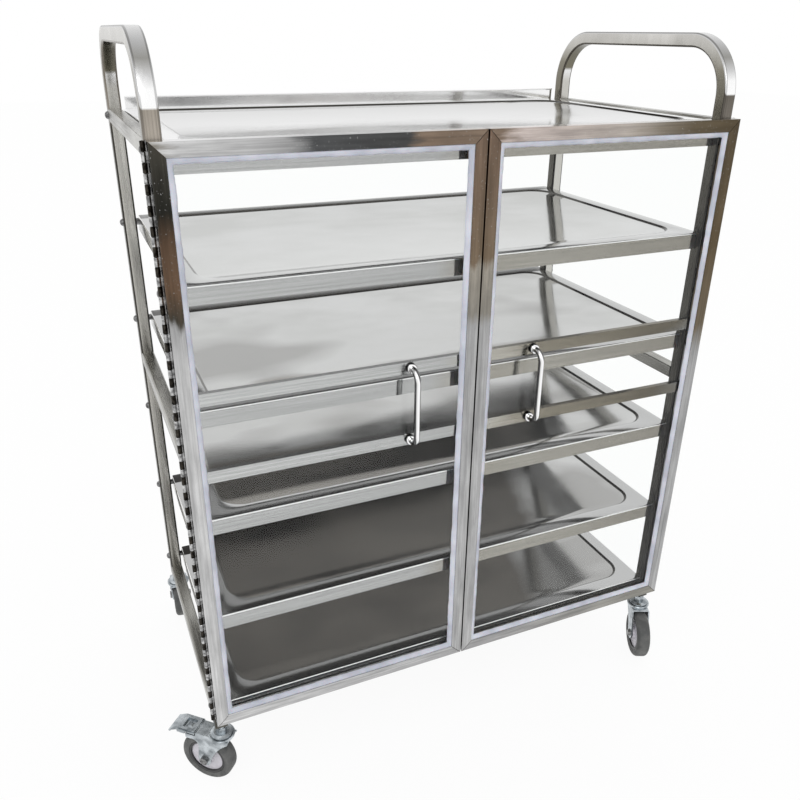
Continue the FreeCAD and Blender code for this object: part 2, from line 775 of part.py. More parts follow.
# Piano hinge at the left door. Knuckles alternate between the two leaves
def hinge_part(y_low, first):
    pitch = door_height / hinge_knuckles
    strip = block(hinge_strip_start, hinge_leaf_width, y_low, y_low + hinge_leaf, door_bottom, door_top)
    leaf = strip
    for i in range(first, hinge_knuckles, 2):
        z0 = door_bottom + i * pitch + hinge_knuckle_gap / 2.0
        length = pitch - hinge_knuckle_gap
        ring = Part.makeCylinder(hinge_knuckle_radius, length, V(0, 0, z0))
        tab = block(0, hinge_strip_start, y_low, y_low + hinge_leaf, z0, z0 + length)
        leaf = leaf.fuse(ring.fuse(tab))
    bore = Part.makeCylinder(hinge_pin_radius + running_gap, door_height, V(0, 0, door_bottom))
    leaf = leaf.cut(bore)
    return moved(leaf, hinge_x, hinge_y, 0)


def hinge_pin():
    return Part.makeCylinder(hinge_pin_radius, door_height, V(hinge_x, hinge_y, door_bottom))


def save_pair(name, left_shape):
    save("left_" + name, left_shape)
    save("right_" + name, left_shape.mirror(V(0, 0, 0), V(1, 0, 0)))


# Fixed frame
frame_shape = end_frame()
for (side, x) in (("left", -post_x), ("right", post_x)):
    save(side + "_end_frame", moved(frame_shape, x, 0, 0))
    save(side + "_top_rail", moved(end_rail(top_rail_top), x, 0, 0))
    save(side + "_middle_rail", moved(end_rail(middle_rail_top), x, 0, 0))
    save(side + "_bottom_rail", moved(end_rail(post_bottom + tube), x, 0, 0))

plain_shelf = shelf(shelf_skirt)
for index in range(1, shelf_count - 1):
    save("shelf_" + str(index + 1), moved(plain_shelf, 0, 0, shelf_levels[index]))
save("bottom_shelf", moved(plain_shelf, 0, 0, shelf_levels[-1]))
save("top_shelf", moved(shelf(top_skirt).fuse(upstand()).removeSplitter(), 0, 0, shelf_levels[0]))

shank = tube + shelf_end_gap + shelf_sheet + cap_nut_bore - bolt_end_gap
save("shelf_bolts", at_every_joint(dome_bolt(shank), frame_length / 2.0, False))
save("spacer_nuts", at_every_joint(spacer_nut(), post_inner_x, True))
save("cap_nuts", at_every_joint(cap_nut(), shelf_length / 2.0 - shelf_sheet, True))

save("stem_sockets", at_corners(stem_socket()))
save("caster_stems", at_corners(caster_stem()))
save("caster_top_races", at_corners(top_race()))

# Doors and hinges
save_pair("door_frame", door_frame())
save_pair("door_glass", door_pane())
save_pair("door_seal", door_seal())
save_pair("door_upper_rail", door_mid_rail(pull_mid_height + pull_centres / 2.0))
save_pair("door_lower_rail", door_mid_rail(pull_mid_height - pull_centres / 2.0))
save_pair("door_pull", door_pull())
save_pair("pull_screws", pull_screws())
leaf_gap = door_front_gap / 2.0 - hinge_leaf
save_pair("hinge_door_leaf", hinge_part(-leaf_gap - hinge_leaf, 1))
save_pair("hinge_frame_leaf", hinge_part(leaf_gap, 0))
save_pair("hinge_pin", hinge_pin())

# Casters
plain_fork = fork(False)
braked_fork = fork(True)
core = wheel_core()
tyre = wheel_tyre()
axle = wheel_axle()
pedal = brake_pedal()
casters = [
    ("front_left", front_left_heading, -post_x, -post_y, True),
    ("front_right", front_right_heading, post_x, -post_y, False),
    ("rear_left", rear_left_heading, -post_x, post_y, False),
    ("rear_right", rear_right_heading, post_x, post_y, True),
]
for (corner_name, heading, x, y, braked) in casters:
    fork_shape = braked_fork if braked else plain_fork
    save(corner_name + "_fork", on_post(fork_shape, heading, x, y))
    save(corner_name + "_axle", on_post(axle, heading, x, y))
    save(corner_name + "_wheel_core", on_post(core, heading, x, y))
    save(corner_name + "_tyre", on_post(tyre, heading, x, y))
    if braked:
        save(corner_name + "_brake_pedal", on_post(pedal, heading, x, y))
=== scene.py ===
import bpy
import bmesh
import json
import math
from mathutils import Matrix, Vector, noise


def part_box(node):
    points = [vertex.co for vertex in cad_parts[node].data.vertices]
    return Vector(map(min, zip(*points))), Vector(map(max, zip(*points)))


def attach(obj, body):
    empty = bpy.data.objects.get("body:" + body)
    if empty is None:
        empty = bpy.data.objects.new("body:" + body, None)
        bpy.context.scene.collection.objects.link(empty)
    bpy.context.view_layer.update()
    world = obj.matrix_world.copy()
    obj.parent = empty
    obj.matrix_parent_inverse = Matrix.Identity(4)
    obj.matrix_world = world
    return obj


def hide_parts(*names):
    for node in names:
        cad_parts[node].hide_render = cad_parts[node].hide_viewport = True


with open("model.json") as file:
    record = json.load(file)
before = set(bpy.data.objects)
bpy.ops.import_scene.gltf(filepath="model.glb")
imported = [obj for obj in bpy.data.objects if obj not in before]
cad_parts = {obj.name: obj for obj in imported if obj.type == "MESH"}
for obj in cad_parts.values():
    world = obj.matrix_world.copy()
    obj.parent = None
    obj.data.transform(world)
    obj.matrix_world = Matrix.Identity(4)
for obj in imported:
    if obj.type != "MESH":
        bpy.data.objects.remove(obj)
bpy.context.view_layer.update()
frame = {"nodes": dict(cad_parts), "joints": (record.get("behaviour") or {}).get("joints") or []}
print("stage 1: the packed trolley is loaded")

# What several pieces share, in metres, read from the frame
mm = 0.001
postLow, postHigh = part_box("left_end_frame")
doorLow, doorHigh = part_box("left_door_frame")
trolley = {
    "endX": -postLow.x,  # outside of the end posts
    "endY": postHigh.y,
    "archTop": postHigh.z,
    "postBottom": postLow.z,
    "tube": postHigh.x - postLow.x,
    "doorX": -doorLow.x,
    "doorMeeting": -doorHigh.x,
    "doorBottom": doorLow.z,
    "doorTop": doorHigh.z,
}
shelfNodes = ["top_shelf", "shelf_2", "shelf_3", "shelf_4", "shelf_5", "bottom_shelf"]


def addObject(name, data):
    made = bpy.data.objects.new(name, data)
    bpy.context.scene.collection.objects.link(made)
    return made


def makePiece(name, mesh, material, smoothAngle=35.0):
    piece = addObject(name, mesh)
    mesh.materials.clear()
    mesh.materials.append(material)
    for polygon in mesh.polygons:
        polygon.use_smooth = True
    mesh.set_sharp_from_angle(angle=math.radians(smoothAngle))
    return piece


def bmeshToMesh(name, work):
    bmesh.ops.remove_doubles(work, verts=work.verts, dist=1e-6)
    bmesh.ops.recalc_face_normals(work, faces=work.faces)
    mesh = bpy.data.meshes.new(name)
    work.to_mesh(mesh)
    work.free()
    return mesh


# Skins a row of closed loops that all have the same number of points, with a cap at each end or
# the ends joined. zoneOf gives a face its zone from the loop's and the point's number
def loftLoops(name, loops, joinEnds=False, zoneOf=lambda pair, point: 0.0):
    work = bmesh.new()
    zoneLayer = work.faces.layers.float.new("zone")
    rings = [[work.verts.new(point) for point in loop] for loop in loops]
    pairs = list(zip(rings, rings[1:]))
    if joinEnds:
        pairs.append((rings[-1], rings[0]))
    uvLayer = work.loops.layers.uv.new("along")
    travelled = 0.0
    for pair, (near, far) in enumerate(pairs):
        step = (near[0].co - far[0].co).length
        count = len(near)
        for i in range(count):
            k = (i + 1) % count
            face = work.faces.new((near[i], near[k], far[k], far[i]))
            face[zoneLayer] = zoneOf(pair, i)
            ahead = travelled + step
            corners = ((i, travelled), (i + 1, travelled), (i + 1, ahead), (i, ahead))
            for loop, (u, v) in zip(face.loops, corners):
                loop[uvLayer].uv = (u / count, v)
        travelled += step
    if not joinEnds:
        for pair, cap in ((-1, rings[0][::-1]), (len(pairs), rings[-1])):
            work.faces.new(cap)[zoneLayer] = zoneOf(pair, 0)
    return bmeshToMesh(name, work)


# Corner points of a rounded rectangle, counted so that any two of them can be skinned
def roundedLoop(width, depth, radius, steps):
    points = []
    corners = ((1, 1, 0), (-1, 1, 90), (-1, -1, 180), (1, -1, 270))
    for sx, sy, start in corners:
        cx = sx * (width / 2 - radius)
        cy = sy * (depth / 2 - radius)
        for i in range(steps + 1):
            angle = math.radians(start + 90.0 * i / steps)
            points.append((cx + radius * math.cos(angle), cy + radius * math.sin(angle)))
    return points


# Directions out from an axis, evenly round it
def spokes(axis, sides):
    side = axis.orthogonal().normalized()
    other = axis.cross(side)
    angles = [2.0 * math.pi * i / sides for i in range(sides)]
    return [side * math.cos(angle) + other * math.sin(angle) for angle in angles]


# Turns a profile of (radius, height) points round an axis
def lathe(name, profile, centre, axis, sides):
    axis = Vector(axis).normalized()
    around = spokes(axis, sides)
    loops = []
    for radius, height in profile:
        middle = Vector(centre) + axis * height
        loops.append([middle + out * max(radius, 1e-5) for out in around])
    return loftLoops(name, loops)


# Like lathe, for a section that closes on itself and never meets the axis
def latheRing(name, section, centre, axis, sides):
    around = spokes(axis, sides)
    loops = [[centre + axis * h + out * r for r, h in section] for out in around]
    return loftLoops(name, loops, joinEnds=True)


# Sweeps a section along a path that stays in one plane; wide is the direction square to that plane
def sweepSection(name, path, wide, section, **zones):
    wide = Vector(wide)
    loops = []
    for i, point in enumerate(path):
        before = path[max(i - 1, 0)]
        after = path[min(i + 1, len(path) - 1)]
        run = (after - before).normalized()
        inward = run.cross(wide).normalized()
        loops.append([point + wide * a + inward * b for a, b in section])
    return loftLoops(name, loops, **zones)


# A polyline with its corners rounded to one radius
def roundedPath(corners, radius, steps):
    path = [Vector(corners[0])]
    for previous, corner, following in zip(corners, corners[1:], corners[2:]):
        corner = Vector(corner)
        back = (Vector(previous) - corner).normalized()
        on = (Vector(following) - corner).normalized()
        half = back.angle(on) / 2
        reach = radius / math.tan(half)
        centre = corner + (back + on).normalized() * (radius / math.sin(half))
        start = (corner + back * reach - centre).normalized()
        end = (corner + on * reach - centre).normalized()
        for i in range(steps + 1):
            path.append(centre + start.slerp(end, i / steps) * radius)
    path.append(Vector(corners[-1]))
    return path


# Node helpers: each adds to a tree, most return the new socket
def addNode(tree, kind, values=None, **settings):
    node = tree.nodes.new(kind)
    for key, value in settings.items():
        setattr(node, key, value)
    for key, value in (values or {}).items():
        if isinstance(value, bpy.types.NodeSocket):
            tree.links.new(value, node.inputs[key])
        else:
            node.inputs[key].default_value = value
    return node


def startMaterial(name, values):
    material = bpy.data.materials.new(name)
    material.use_nodes = True
    tree = material.node_tree
    tree.nodes.clear()
    output = addNode(tree, "ShaderNodeOutputMaterial")
    shader = addNode(tree, "ShaderNodeBsdfPrincipled", values)
    tree.links.new(shader.outputs[0], output.inputs[0])
    return material, tree, shader, addNode(tree, "ShaderNodeTexCoord").outputs


# Noise on Object coordinates, stretched by giving each axis its own scale per metre
def stretchedNoise(tree, source, stretch, detail=3.0):
    mapping = addNode(tree, "ShaderNodeMapping", {"Vector": source, "Scale": stretch})
    values = {"Vector": mapping.outputs[0], "Scale": 1.0, "Detail": detail, "Roughness": 0.55}
    return addNode(tree, "ShaderNodeTexNoise", values).outputs["Fac"]


def remap(tree, value, low, high, toLow=0.0, toHigh=1.0):
    values = {"Value": value, "From Min": low, "From Max": high, "To Min": toLow, "To Max": toHigh}
    return addNode(tree, "ShaderNodeMapRange", values).outputs[0]


def mathNode(tree, operation, first, second=0.0):
    return addNode(tree, "ShaderNodeMath", {0: first, 1: second}, operation=operation).outputs[0]


def plus(tree, first, second):
    return mathNode(tree, "ADD", first, second)


def minus(tree, first, second):
    return mathNode(tree, "SUBTRACT", first, second)


def times(tree, first, second):
    return mathNode(tree, "MULTIPLY", first, second)


def above(tree, value, limit):
    return mathNode(tree, "GREATER_THAN", value, limit)


def below(tree, value, limit):
    return mathNode(tree, "LESS_THAN", value, limit)


def splitXYZ(tree, source):
    return tuple(addNode(tree, "ShaderNodeSeparateXYZ", {0: source}).outputs)


def mixValue(tree, factor, first, second):
    return addNode(tree, "ShaderNodeMix", {0: factor, 2: first, 3: second}).outputs[0]


def mixColour(tree, factor, first, second):
    node = addNode(tree, "ShaderNodeMix", {"Factor": factor}, data_type="RGBA")
    for socket, value in ((node.inputs[6], first), (node.inputs[7], second)):
        if isinstance(value, bpy.types.NodeSocket):
            tree.links.new(value, socket)
        else:
            socket.default_value = (*value, 1.0)
    return node.outputs[2]


def scaleColour(tree, colour, amount):
    values = {0: colour, "Scale": amount}
    return addNode(tree, "ShaderNodeVectorMath", values, operation="SCALE").outputs[0]


# Scales a colour between two amounts, as a pattern goes through a band of its values
def vary(tree, colour, pattern, amounts, band=(0.3, 0.7)):
    return scaleColour(tree, colour, remap(tree, pattern, *band, *amounts))


# value + (pattern - 0.5) * amount, to roughen where a tone changes
def shake(tree, value, pattern, amount):
    return plus(tree, value, times(tree, minus(tree, pattern, 0.5), amount))


# A tone as it looks on screen, 0 to 255, in the linear values that shaders take (the sRGB curve)
def shade(red, green=None, blue=None):
    levels = (red, red if green is None else green, red if blue is None else blue)
    return tuple((v / 255 / 12.92) if v < 10.3 else ((v / 255 + 0.055) / 1.055) ** 2.4 for v in levels)


# Each stop is a place from 0 to 1 with a grey, or with red, green and blue, as shade takes them
def ramp(tree, factor, stops):
    node = addNode(tree, "ShaderNodeValToRGB", {0: factor})
    band = node.color_ramp
    band.elements.remove(band.elements[1])
    for index, (place, *tone) in enumerate(stops):
        element = band.elements[0] if index == 0 else band.elements.new(place)
        element.position = place
        element.color = (*shade(*tone), 1.0)
    return node.outputs[0]


def isZone(tree, number):
    zone = addNode(tree, "ShaderNodeAttribute", attribute_name="zone").outputs["Fac"]
    values = {0: zone, 1: float(number), 2: 0.1}
    return addNode(tree, "ShaderNodeMath", values, operation="COMPARE").outputs[0]


# Lays tones over a colour, each on the faces of its own zone
def paintZones(tree, colour, zones, tones):
    for zone, tone in tones.items():
        colour = mixColour(tree, isZone(tree, zones[zone]), colour, tone)
    return colour


# Colour, a roughness that follows a pattern and, where asked, relief from the same pattern
def finishSurface(tree, shader, colour, pattern, roughness, relief=0.0, band=(0.3, 0.7)):
    tree.links.new(colour, shader.inputs["Base Color"])
    tree.links.new(remap(tree, pattern, *band, *roughness), shader.inputs["Roughness"])
    if relief > 0.0:
        bump = addNode(tree, "ShaderNodeBump", {"Height": pattern, "Distance": relief, "Strength": 1.0})
        tree.links.new(bump.outputs[0], shader.inputs["Normal"])


# Puts a second shader over a material's own, by a share from 0 to 1
def overlay(tree, share, shader, second):
    mixed = addNode(tree, "ShaderNodeMixShader", {0: share, 1: shader.outputs[0], 2: second.outputs[0]})
    output = next(node for node in tree.nodes if node.type == "OUTPUT_MATERIAL")
    tree.links.new(mixed.outputs[0], output.inputs[0])


# Parts of an end frame's section
archZone = {"outer": 0, "inner": 1, "side": 2, "edge": 3}

archSteel = {
    "grain": (420.0, 420.0, 5.0),
    "grainTone": (0.72, 1.22),
    "clouds": (22.0, 16.0, 9.0),
    "cloudTone": (0.88, 1.08),
    # painted reflection on the legs from the foot (0) to a little below the top of the arch (1): dark,
    # with a painted highlight near the top
    "leg": [(0.0, 96, 94, 88), (0.55, 84, 82, 77), (0.93, 80, 78, 72), (0.955, 172, 164, 154),
            (1.0, 152, 145, 134)],
    "legEnd": 0.08,
    # painted reflection: the right arch's uprights take this share of the left's tone
    "rightShare": 0.45,  # the right arch's uprights are darker than the left's
    "leftRight": (-0.4, 0.4),
    # painted highlight and reflection on the outer face as it turns from upright (0) to level (1)
    "outer": [(0.05, 255), (0.26, 250), (0.42, 205), (0.62, 150, 149, 145), (0.80, 178), (1.0, 214)],
    "outerFrom": (0.035, 0.055),  # where the leg's tone gives way to it
    # painted reflection on the inner face by how far it faces down: a painted highlight where it starts to
    # turn, dark under the arch
    "inner": [(0.0, 196, 194, 188), (0.30, 235), (0.38, 122, 118, 104), (1.0, 110, 108, 98)],
    # painted reflection on the side faces from the post's foot (0) to the top of the arch (1): dark up the
    # posts, lighter over the top
    "side": [(0.0, 92, 90, 85), (0.85, 78, 76, 70), (0.90, 116, 112, 100), (0.95, 138, 134, 122),
             (0.975, 184, 182, 176), (1.0, 206, 204, 200)],
    "heightShake": 0.03,
    "turnShake": 0.10,
    # painted dark reflection: the rounded edges keep this share of their tone
    "edge": 0.62,
    "roughness": (0.18, 0.32),
    "relief": 0.000004,
}


# Satin tube of the end frames. Its reflections and highlights are painted into the colour; they follow the
# bend, so they are painted by zone, facing and height
def makeArchSteel(name, look):
    material, tree, shader, coords = startMaterial(name, {"Metallic": 1.0})
    x, z = splitXYZ(tree, coords["Object"])[::2]
    level = splitXYZ(tree, coords["Normal"])[2]
    streaks = stretchedNoise(tree, coords["Object"], look["grain"], detail=2.0)
    clouds = stretchedNoise(tree, coords["Object"], look["clouds"], detail=4.0)
    height = shake(tree, z, clouds, look["heightShake"])
    legHeight = remap(tree, height, trolley["postBottom"], trolley["archTop"] - look["legEnd"])
    leg = vary(tree, ramp(tree, legHeight, look["leg"]), streaks, look["grainTone"])
    leg = vary(tree, leg, x, (1.0, look["rightShare"]), look["leftRight"])
    bent = ramp(tree, shake(tree, level, clouds, look["turnShake"]), look["outer"])
    outer = mixColour(tree, remap(tree, level, *look["outerFrom"]), leg, bent)
    inner = ramp(tree, times(tree, level, -1.0), look["inner"])
    sideHeight = remap(tree, height, trolley["postBottom"], trolley["archTop"])
    side = vary(tree, ramp(tree, sideHeight, look["side"]), clouds, look["cloudTone"])
    colour = paintZones(tree, outer, archZone, {"inner": inner, "side": side})
    darkened = times(tree, isZone(tree, archZone["edge"]), 1.0 - look["edge"])
    colour = scaleColour(tree, colour, minus(tree, 1.0, darkened))
    finishSurface(tree, shader, colour, streaks, look["roughness"], look["relief"])
    return material


# A pattern is its scale per metre on each axis and its detail. Patches lead from the dark tone to the
# pale one, and the fine pattern drives gloss, relief and, by its share, some of the tone
barSteel = {
    "dark": shade(112, 110, 104),
    "pale": shade(186, 185, 180),
    "patches": ((14.0, 4.0, 22.0), 3.0),
    "band": (0.36, 0.64),
    "fine": ((300.0, 9.0, 300.0), 2.0),
    "fineShare": 0.5,
    "roughness": (0.20, 0.34),
    "relief": 0.000004,
}


# Plated or bright small metal in patches, the pale ones the smoothest
def plated(pale, dark, roughness, scale):
    pattern = ((scale, scale, scale), 4.0)
    return {"dark": dark, "pale": pale, "patches": pattern, "band": (0.35, 0.65), "fine": pattern,
            "roughness": roughness[::-1], "relief": 0.00003}


# Moulded or rubber piece with a fine surface and a little dust
def moulded(colour, dust, roughness, scale, relief):
    return {"dark": colour, "pale": dust, "patches": ((45.0, 45.0, 45.0), 5.0), "band": (0.42, 0.72),
            "fine": ((scale, scale, scale), 4.0), "roughness": roughness, "relief": relief, "shader": {}}


# Silicone bead, wiped by hand: bluish white with a soft sheen and small lumps
siliconeLook = {
    "dark": shade(182, 185, 197),
    "pale": shade(210, 212, 222),
    "patches": ((20.0, 20.0, 20.0), 3.0),
    "band": (0.35, 0.65),
    "fine": ((160.0, 160.0, 70.0), 3.0),
    "roughness": (0.28, 0.48),
    "relief": 0.0004,
    "shader": {"Subsurface Weight": 0.15, "Subsurface Scale": 0.002, "IOR": 1.42},
}


def makePatchy(name, look):
    material, tree, shader, coords = startMaterial(name, look.get("shader", {"Metallic": 1.0}))
    patches = remap(tree, stretchedNoise(tree, coords["Object"], *look["patches"]), *look["band"])
    fine = stretchedNoise(tree, coords["Object"], *look["fine"])
    tone = shake(tree, patches, fine, look.get("fineShare", 0.0))
    colour = mixColour(tree, tone, look["dark"], look["pale"])
    finishSurface(tree, shader, colour, fine, look["roughness"], look["relief"])
    return material


# Tones of the polished doors, painted reflections of the room that turn dark and brownish towards the top,
# each from 0 to 1: rails from the left end of the cart to the right, stiles from the bottom to the top
doorSteel = {
    "topRail": [(0.0, 150, 146, 138), (0.03, 205), (0.13, 188), (0.185, 160), (0.215, 84, 85, 86),
                (0.37, 72, 72, 72), (0.40, 122, 106, 92), (0.52, 128, 112, 98), (0.56, 196, 184, 178),
                (0.76, 176, 168, 160), (0.84, 126, 118, 106), (0.90, 98, 88, 72), (1.0, 86, 76, 60)],
    "bottomRail": [(0.0, 196), (0.45, 176), (0.55, 162), (1.0, 140, 138, 130)],
    "leftStile": [(0.0, 196), (0.70, 190), (0.74, 176), (0.755, 72, 68, 60), (0.80, 104, 84, 68),
                  (0.87, 92, 74, 60), (0.90, 46, 46, 42), (1.0, 66, 64, 58)],
    "middleStile": [(0.0, 176), (0.69, 166), (0.71, 140, 136, 128), (0.79, 150, 144, 134),
                    (0.81, 112, 98, 82), (1.0, 118, 100, 86)],
    "rightStile": [(0.0, 168), (0.58, 158), (0.63, 112, 102, 86), (0.80, 92, 80, 62),
                   (1.0, 88, 78, 62)],
    "grainAlong": 7.0,
    "grainAcross": 420.0,
    "grainTone": (0.84, 1.14),
    "stileClouds": (60.0, 60.0, 12.0),
    "railClouds": (14.0, 90.0, 90.0),
    "cloudTone": (0.82, 1.14),
    "cloudBand": (0.35, 0.65),
    "railShake": 0.10,
    "stileShake": 0.08,
    "speckle": (520.0, 520.0, 312.0),
    "speckBand": (0.69, 0.75),
    "speckHeight": (0.80, 0.90),  # specks fade in between these
    "speckShare": 0.55,
    "speck": shade(190),
    "roughness": (0.08, 0.18),
    "relief": 0.000002,
    "mitreReach": 0.0185,
    "seamHalf": 0.0006,
    "seam": shade(52, 44, 36),
}


# Mirror polish on the door tubes, with reflections of the room painted into the colour. The grain turns at
# the mitres and a fine seam marks them
def makeDoorSteel(name, side, look):
    material, tree, shader, coords = startMaterial(name, {"Metallic": 1.0})
    source = coords["Object"]
    x, z = splitXYZ(tree, source)[::2]

    # the middle between two edges, and how far inside them a point is
    def fromEdges(value, low, high):
        middle = (low + high) / 2
        offset = mathNode(tree, "ABSOLUTE", minus(tree, value, middle))
        return middle, minus(tree, (high - low) / 2, offset)

    bottom, top = trolley["doorBottom"], trolley["doorTop"]
    middleX, fromSide = fromEdges(x, *sorted((side * trolley["doorX"], side * trolley["doorMeeting"])))
    middleZ, fromEnd = fromEdges(z, bottom, top)
    stileLead = minus(tree, fromEnd, fromSide)
    isStile = above(tree, stileLead, 0.0)
    across, along = look["grainAcross"], look["grainAlong"]
    stileGrain = stretchedNoise(tree, source, (across, across, along), detail=2.0)
    railGrain = stretchedNoise(tree, source, (along, across, across), detail=2.0)
    grain = mixValue(tree, isStile, railGrain, stileGrain)
    stileClouds = stretchedNoise(tree, source, look["stileClouds"], detail=4.0)
    railClouds = stretchedNoise(tree, source, look["railClouds"], detail=4.0)
    clouds = mixValue(tree, isStile, railClouds, stileClouds)
    rowX = remap(tree, shake(tree, x, clouds, look["railShake"]), -trolley["doorX"], trolley["doorX"])
    rowZ = remap(tree, shake(tree, z, clouds, look["stileShake"]), bottom, top)

    def pair(isSecond, row, first, second):
        return mixColour(tree, isSecond, ramp(tree, row, look[first]), ramp(tree, row, look[second]))

    leftStile, rightStile = ("leftStile", "middleStile") if side < 0 else ("middleStile", "rightStile")
    rails = pair(above(tree, z, middleZ), rowX, "bottomRail", "topRail")
    stiles = pair(above(tree, x, middleX), rowZ, leftStile, rightStile)
    colour = vary(tree, mixColour(tree, isStile, rails, stiles), grain, look["grainTone"])
    colour = vary(tree, colour, clouds, look["cloudTone"], look["cloudBand"])
    specks = remap(tree, stretchedNoise(tree, source, look["speckle"], detail=1.0), *look["speckBand"])
    specks = times(tree, specks, remap(tree, z, *look["speckHeight"]))
    colour = mixColour(tree, times(tree, specks, look["speckShare"]), colour, look["speck"])
    nearSeam = below(tree, mathNode(tree, "ABSOLUTE", stileLead), look["seamHalf"])
    inTube = below(tree, mathNode(tree, "MINIMUM", fromEnd, fromSide), look["mitreReach"])
    colour = mixColour(tree, times(tree, nearSeam, inTube), colour, look["seam"])
    finishSurface(tree, shader, colour, grain, look["roughness"], look["relief"])
    return material


midRailSteel = {
    # painted reflection along the rail from the left end of the cart (0) to the right (1): pale on the
    # left, dark and brownish on the right
    "along": [(0.0, 196), (0.30, 188), (0.46, 176), (0.54, 176, 172, 164), (0.64, 134, 128, 116),
              (0.80, 118, 112, 100), (0.92, 96, 90, 78), (1.0, 120)],
    "grain": (6.0, 420.0, 420.0),
    "grainTone": (0.86, 1.1),
    "clouds": (9.0, 60.0, 60.0),
    "shake": 0.15,
    "roughness": (0.12, 0.24),
}


def makeMidRailSteel(name, look):
    material, tree, shader, coords = startMaterial(name, {"Metallic": 1.0})
    x = splitXYZ(tree, coords["Object"])[0]
    grain = stretchedNoise(tree, coords["Object"], look["grain"], detail=2.0)
    clouds = stretchedNoise(tree, coords["Object"], look["clouds"])
    row = remap(tree, shake(tree, x, clouds, look["shake"]), -trolley["doorX"], trolley["doorX"])
    colour = vary(tree, ramp(tree, row, look["along"]), grain, look["grainTone"])
    finishSurface(tree, shader, colour, grain, look["roughness"])
    return material


# Which part of a tray's section a face is in
trayZone = {"flange": 0, "fold": 1, "border": 2, "step": 3, "deck": 4, "under": 5, "upstand": 6}

deckSteel = {
    # the pale upper decks and the top tray's lighter tone are painted reflections, mottled at random
    "pale": shade(190, 190, 189),
    "paler": shade(205),
    "top": shade(208),
    "topHeight": (0.95, 1.05),  # the decks turn to the top tray's tone between these
    "darkPatch": shade(150, 149, 147),
    "darkPatchHeight": (0.80, 0.75),  # soft darker patches set in on the way down between these
    "darkPatchShare": 0.75,
    "dim": shade(130, 126, 120),  # where the lower decks mirror the dark side of the room
    "dimmer": shade(101, 98, 94),
    # height, and how far back the dim part reaches: over the lowest two decks, on none of the top two
    "dimReach": [(0.359, 0.31), (0.536, -0.08), (0.890, -0.26)],
    "dimSwitch": 0.55,
    "dimReachShake": 0.10,
    "dimReachSoft": 0.012,
    "dimFrom": 0.24,  # the dim part ends about here along the cart
    "dimSlope": 0.3,
    "dimShake": 0.12,
    "dimSoft": 0.02,
    # painted reflection on the flanges from the left end of the cart (0) to the right (1), darker towards
    # the right
    "flange": [(0.0, 182), (0.42, 174), (0.50, 158, 154, 146), (0.62, 160, 157, 150),
               (1.0, 138, 134, 126)],
    "flangeTone": (0.88, 1.08),
    "flangeShake": 0.2,
    # painted highlight along the folds
    "fold": shade(240),
    # painted dark reflection in the pressed step
    "step": shade(62, 60, 56),
    "under": shade(172),
    "upstand": shade(244),
    "sideBorder": shade(186),
    # painted dark reflection along the rear border of the trays below the top one
    "rearBorder": shade(34, 32, 30),
    "rearFrom": 0.20,
    "topBorder": shade(228),
    "topFrom": 1.0,
    "mottle": (5.0, 7.0, 5.0),
    "mottleBand": (0.35, 0.65),
    "broad": (2.6, 4.0, 2.0),
    "broadBand": (0.47, 0.60),
    "grain": (5.0, 500.0, 500.0),  # mill lines run along the cart
    "scratches": (5.0, 700.0, 700.0),
    "scratchTurn": (0.0, 0.0, 0.6),
    "scratchBand": (0.72, 0.78),
    "scratchShare": 0.06,
    "roughness": (0.07, 0.16),
}


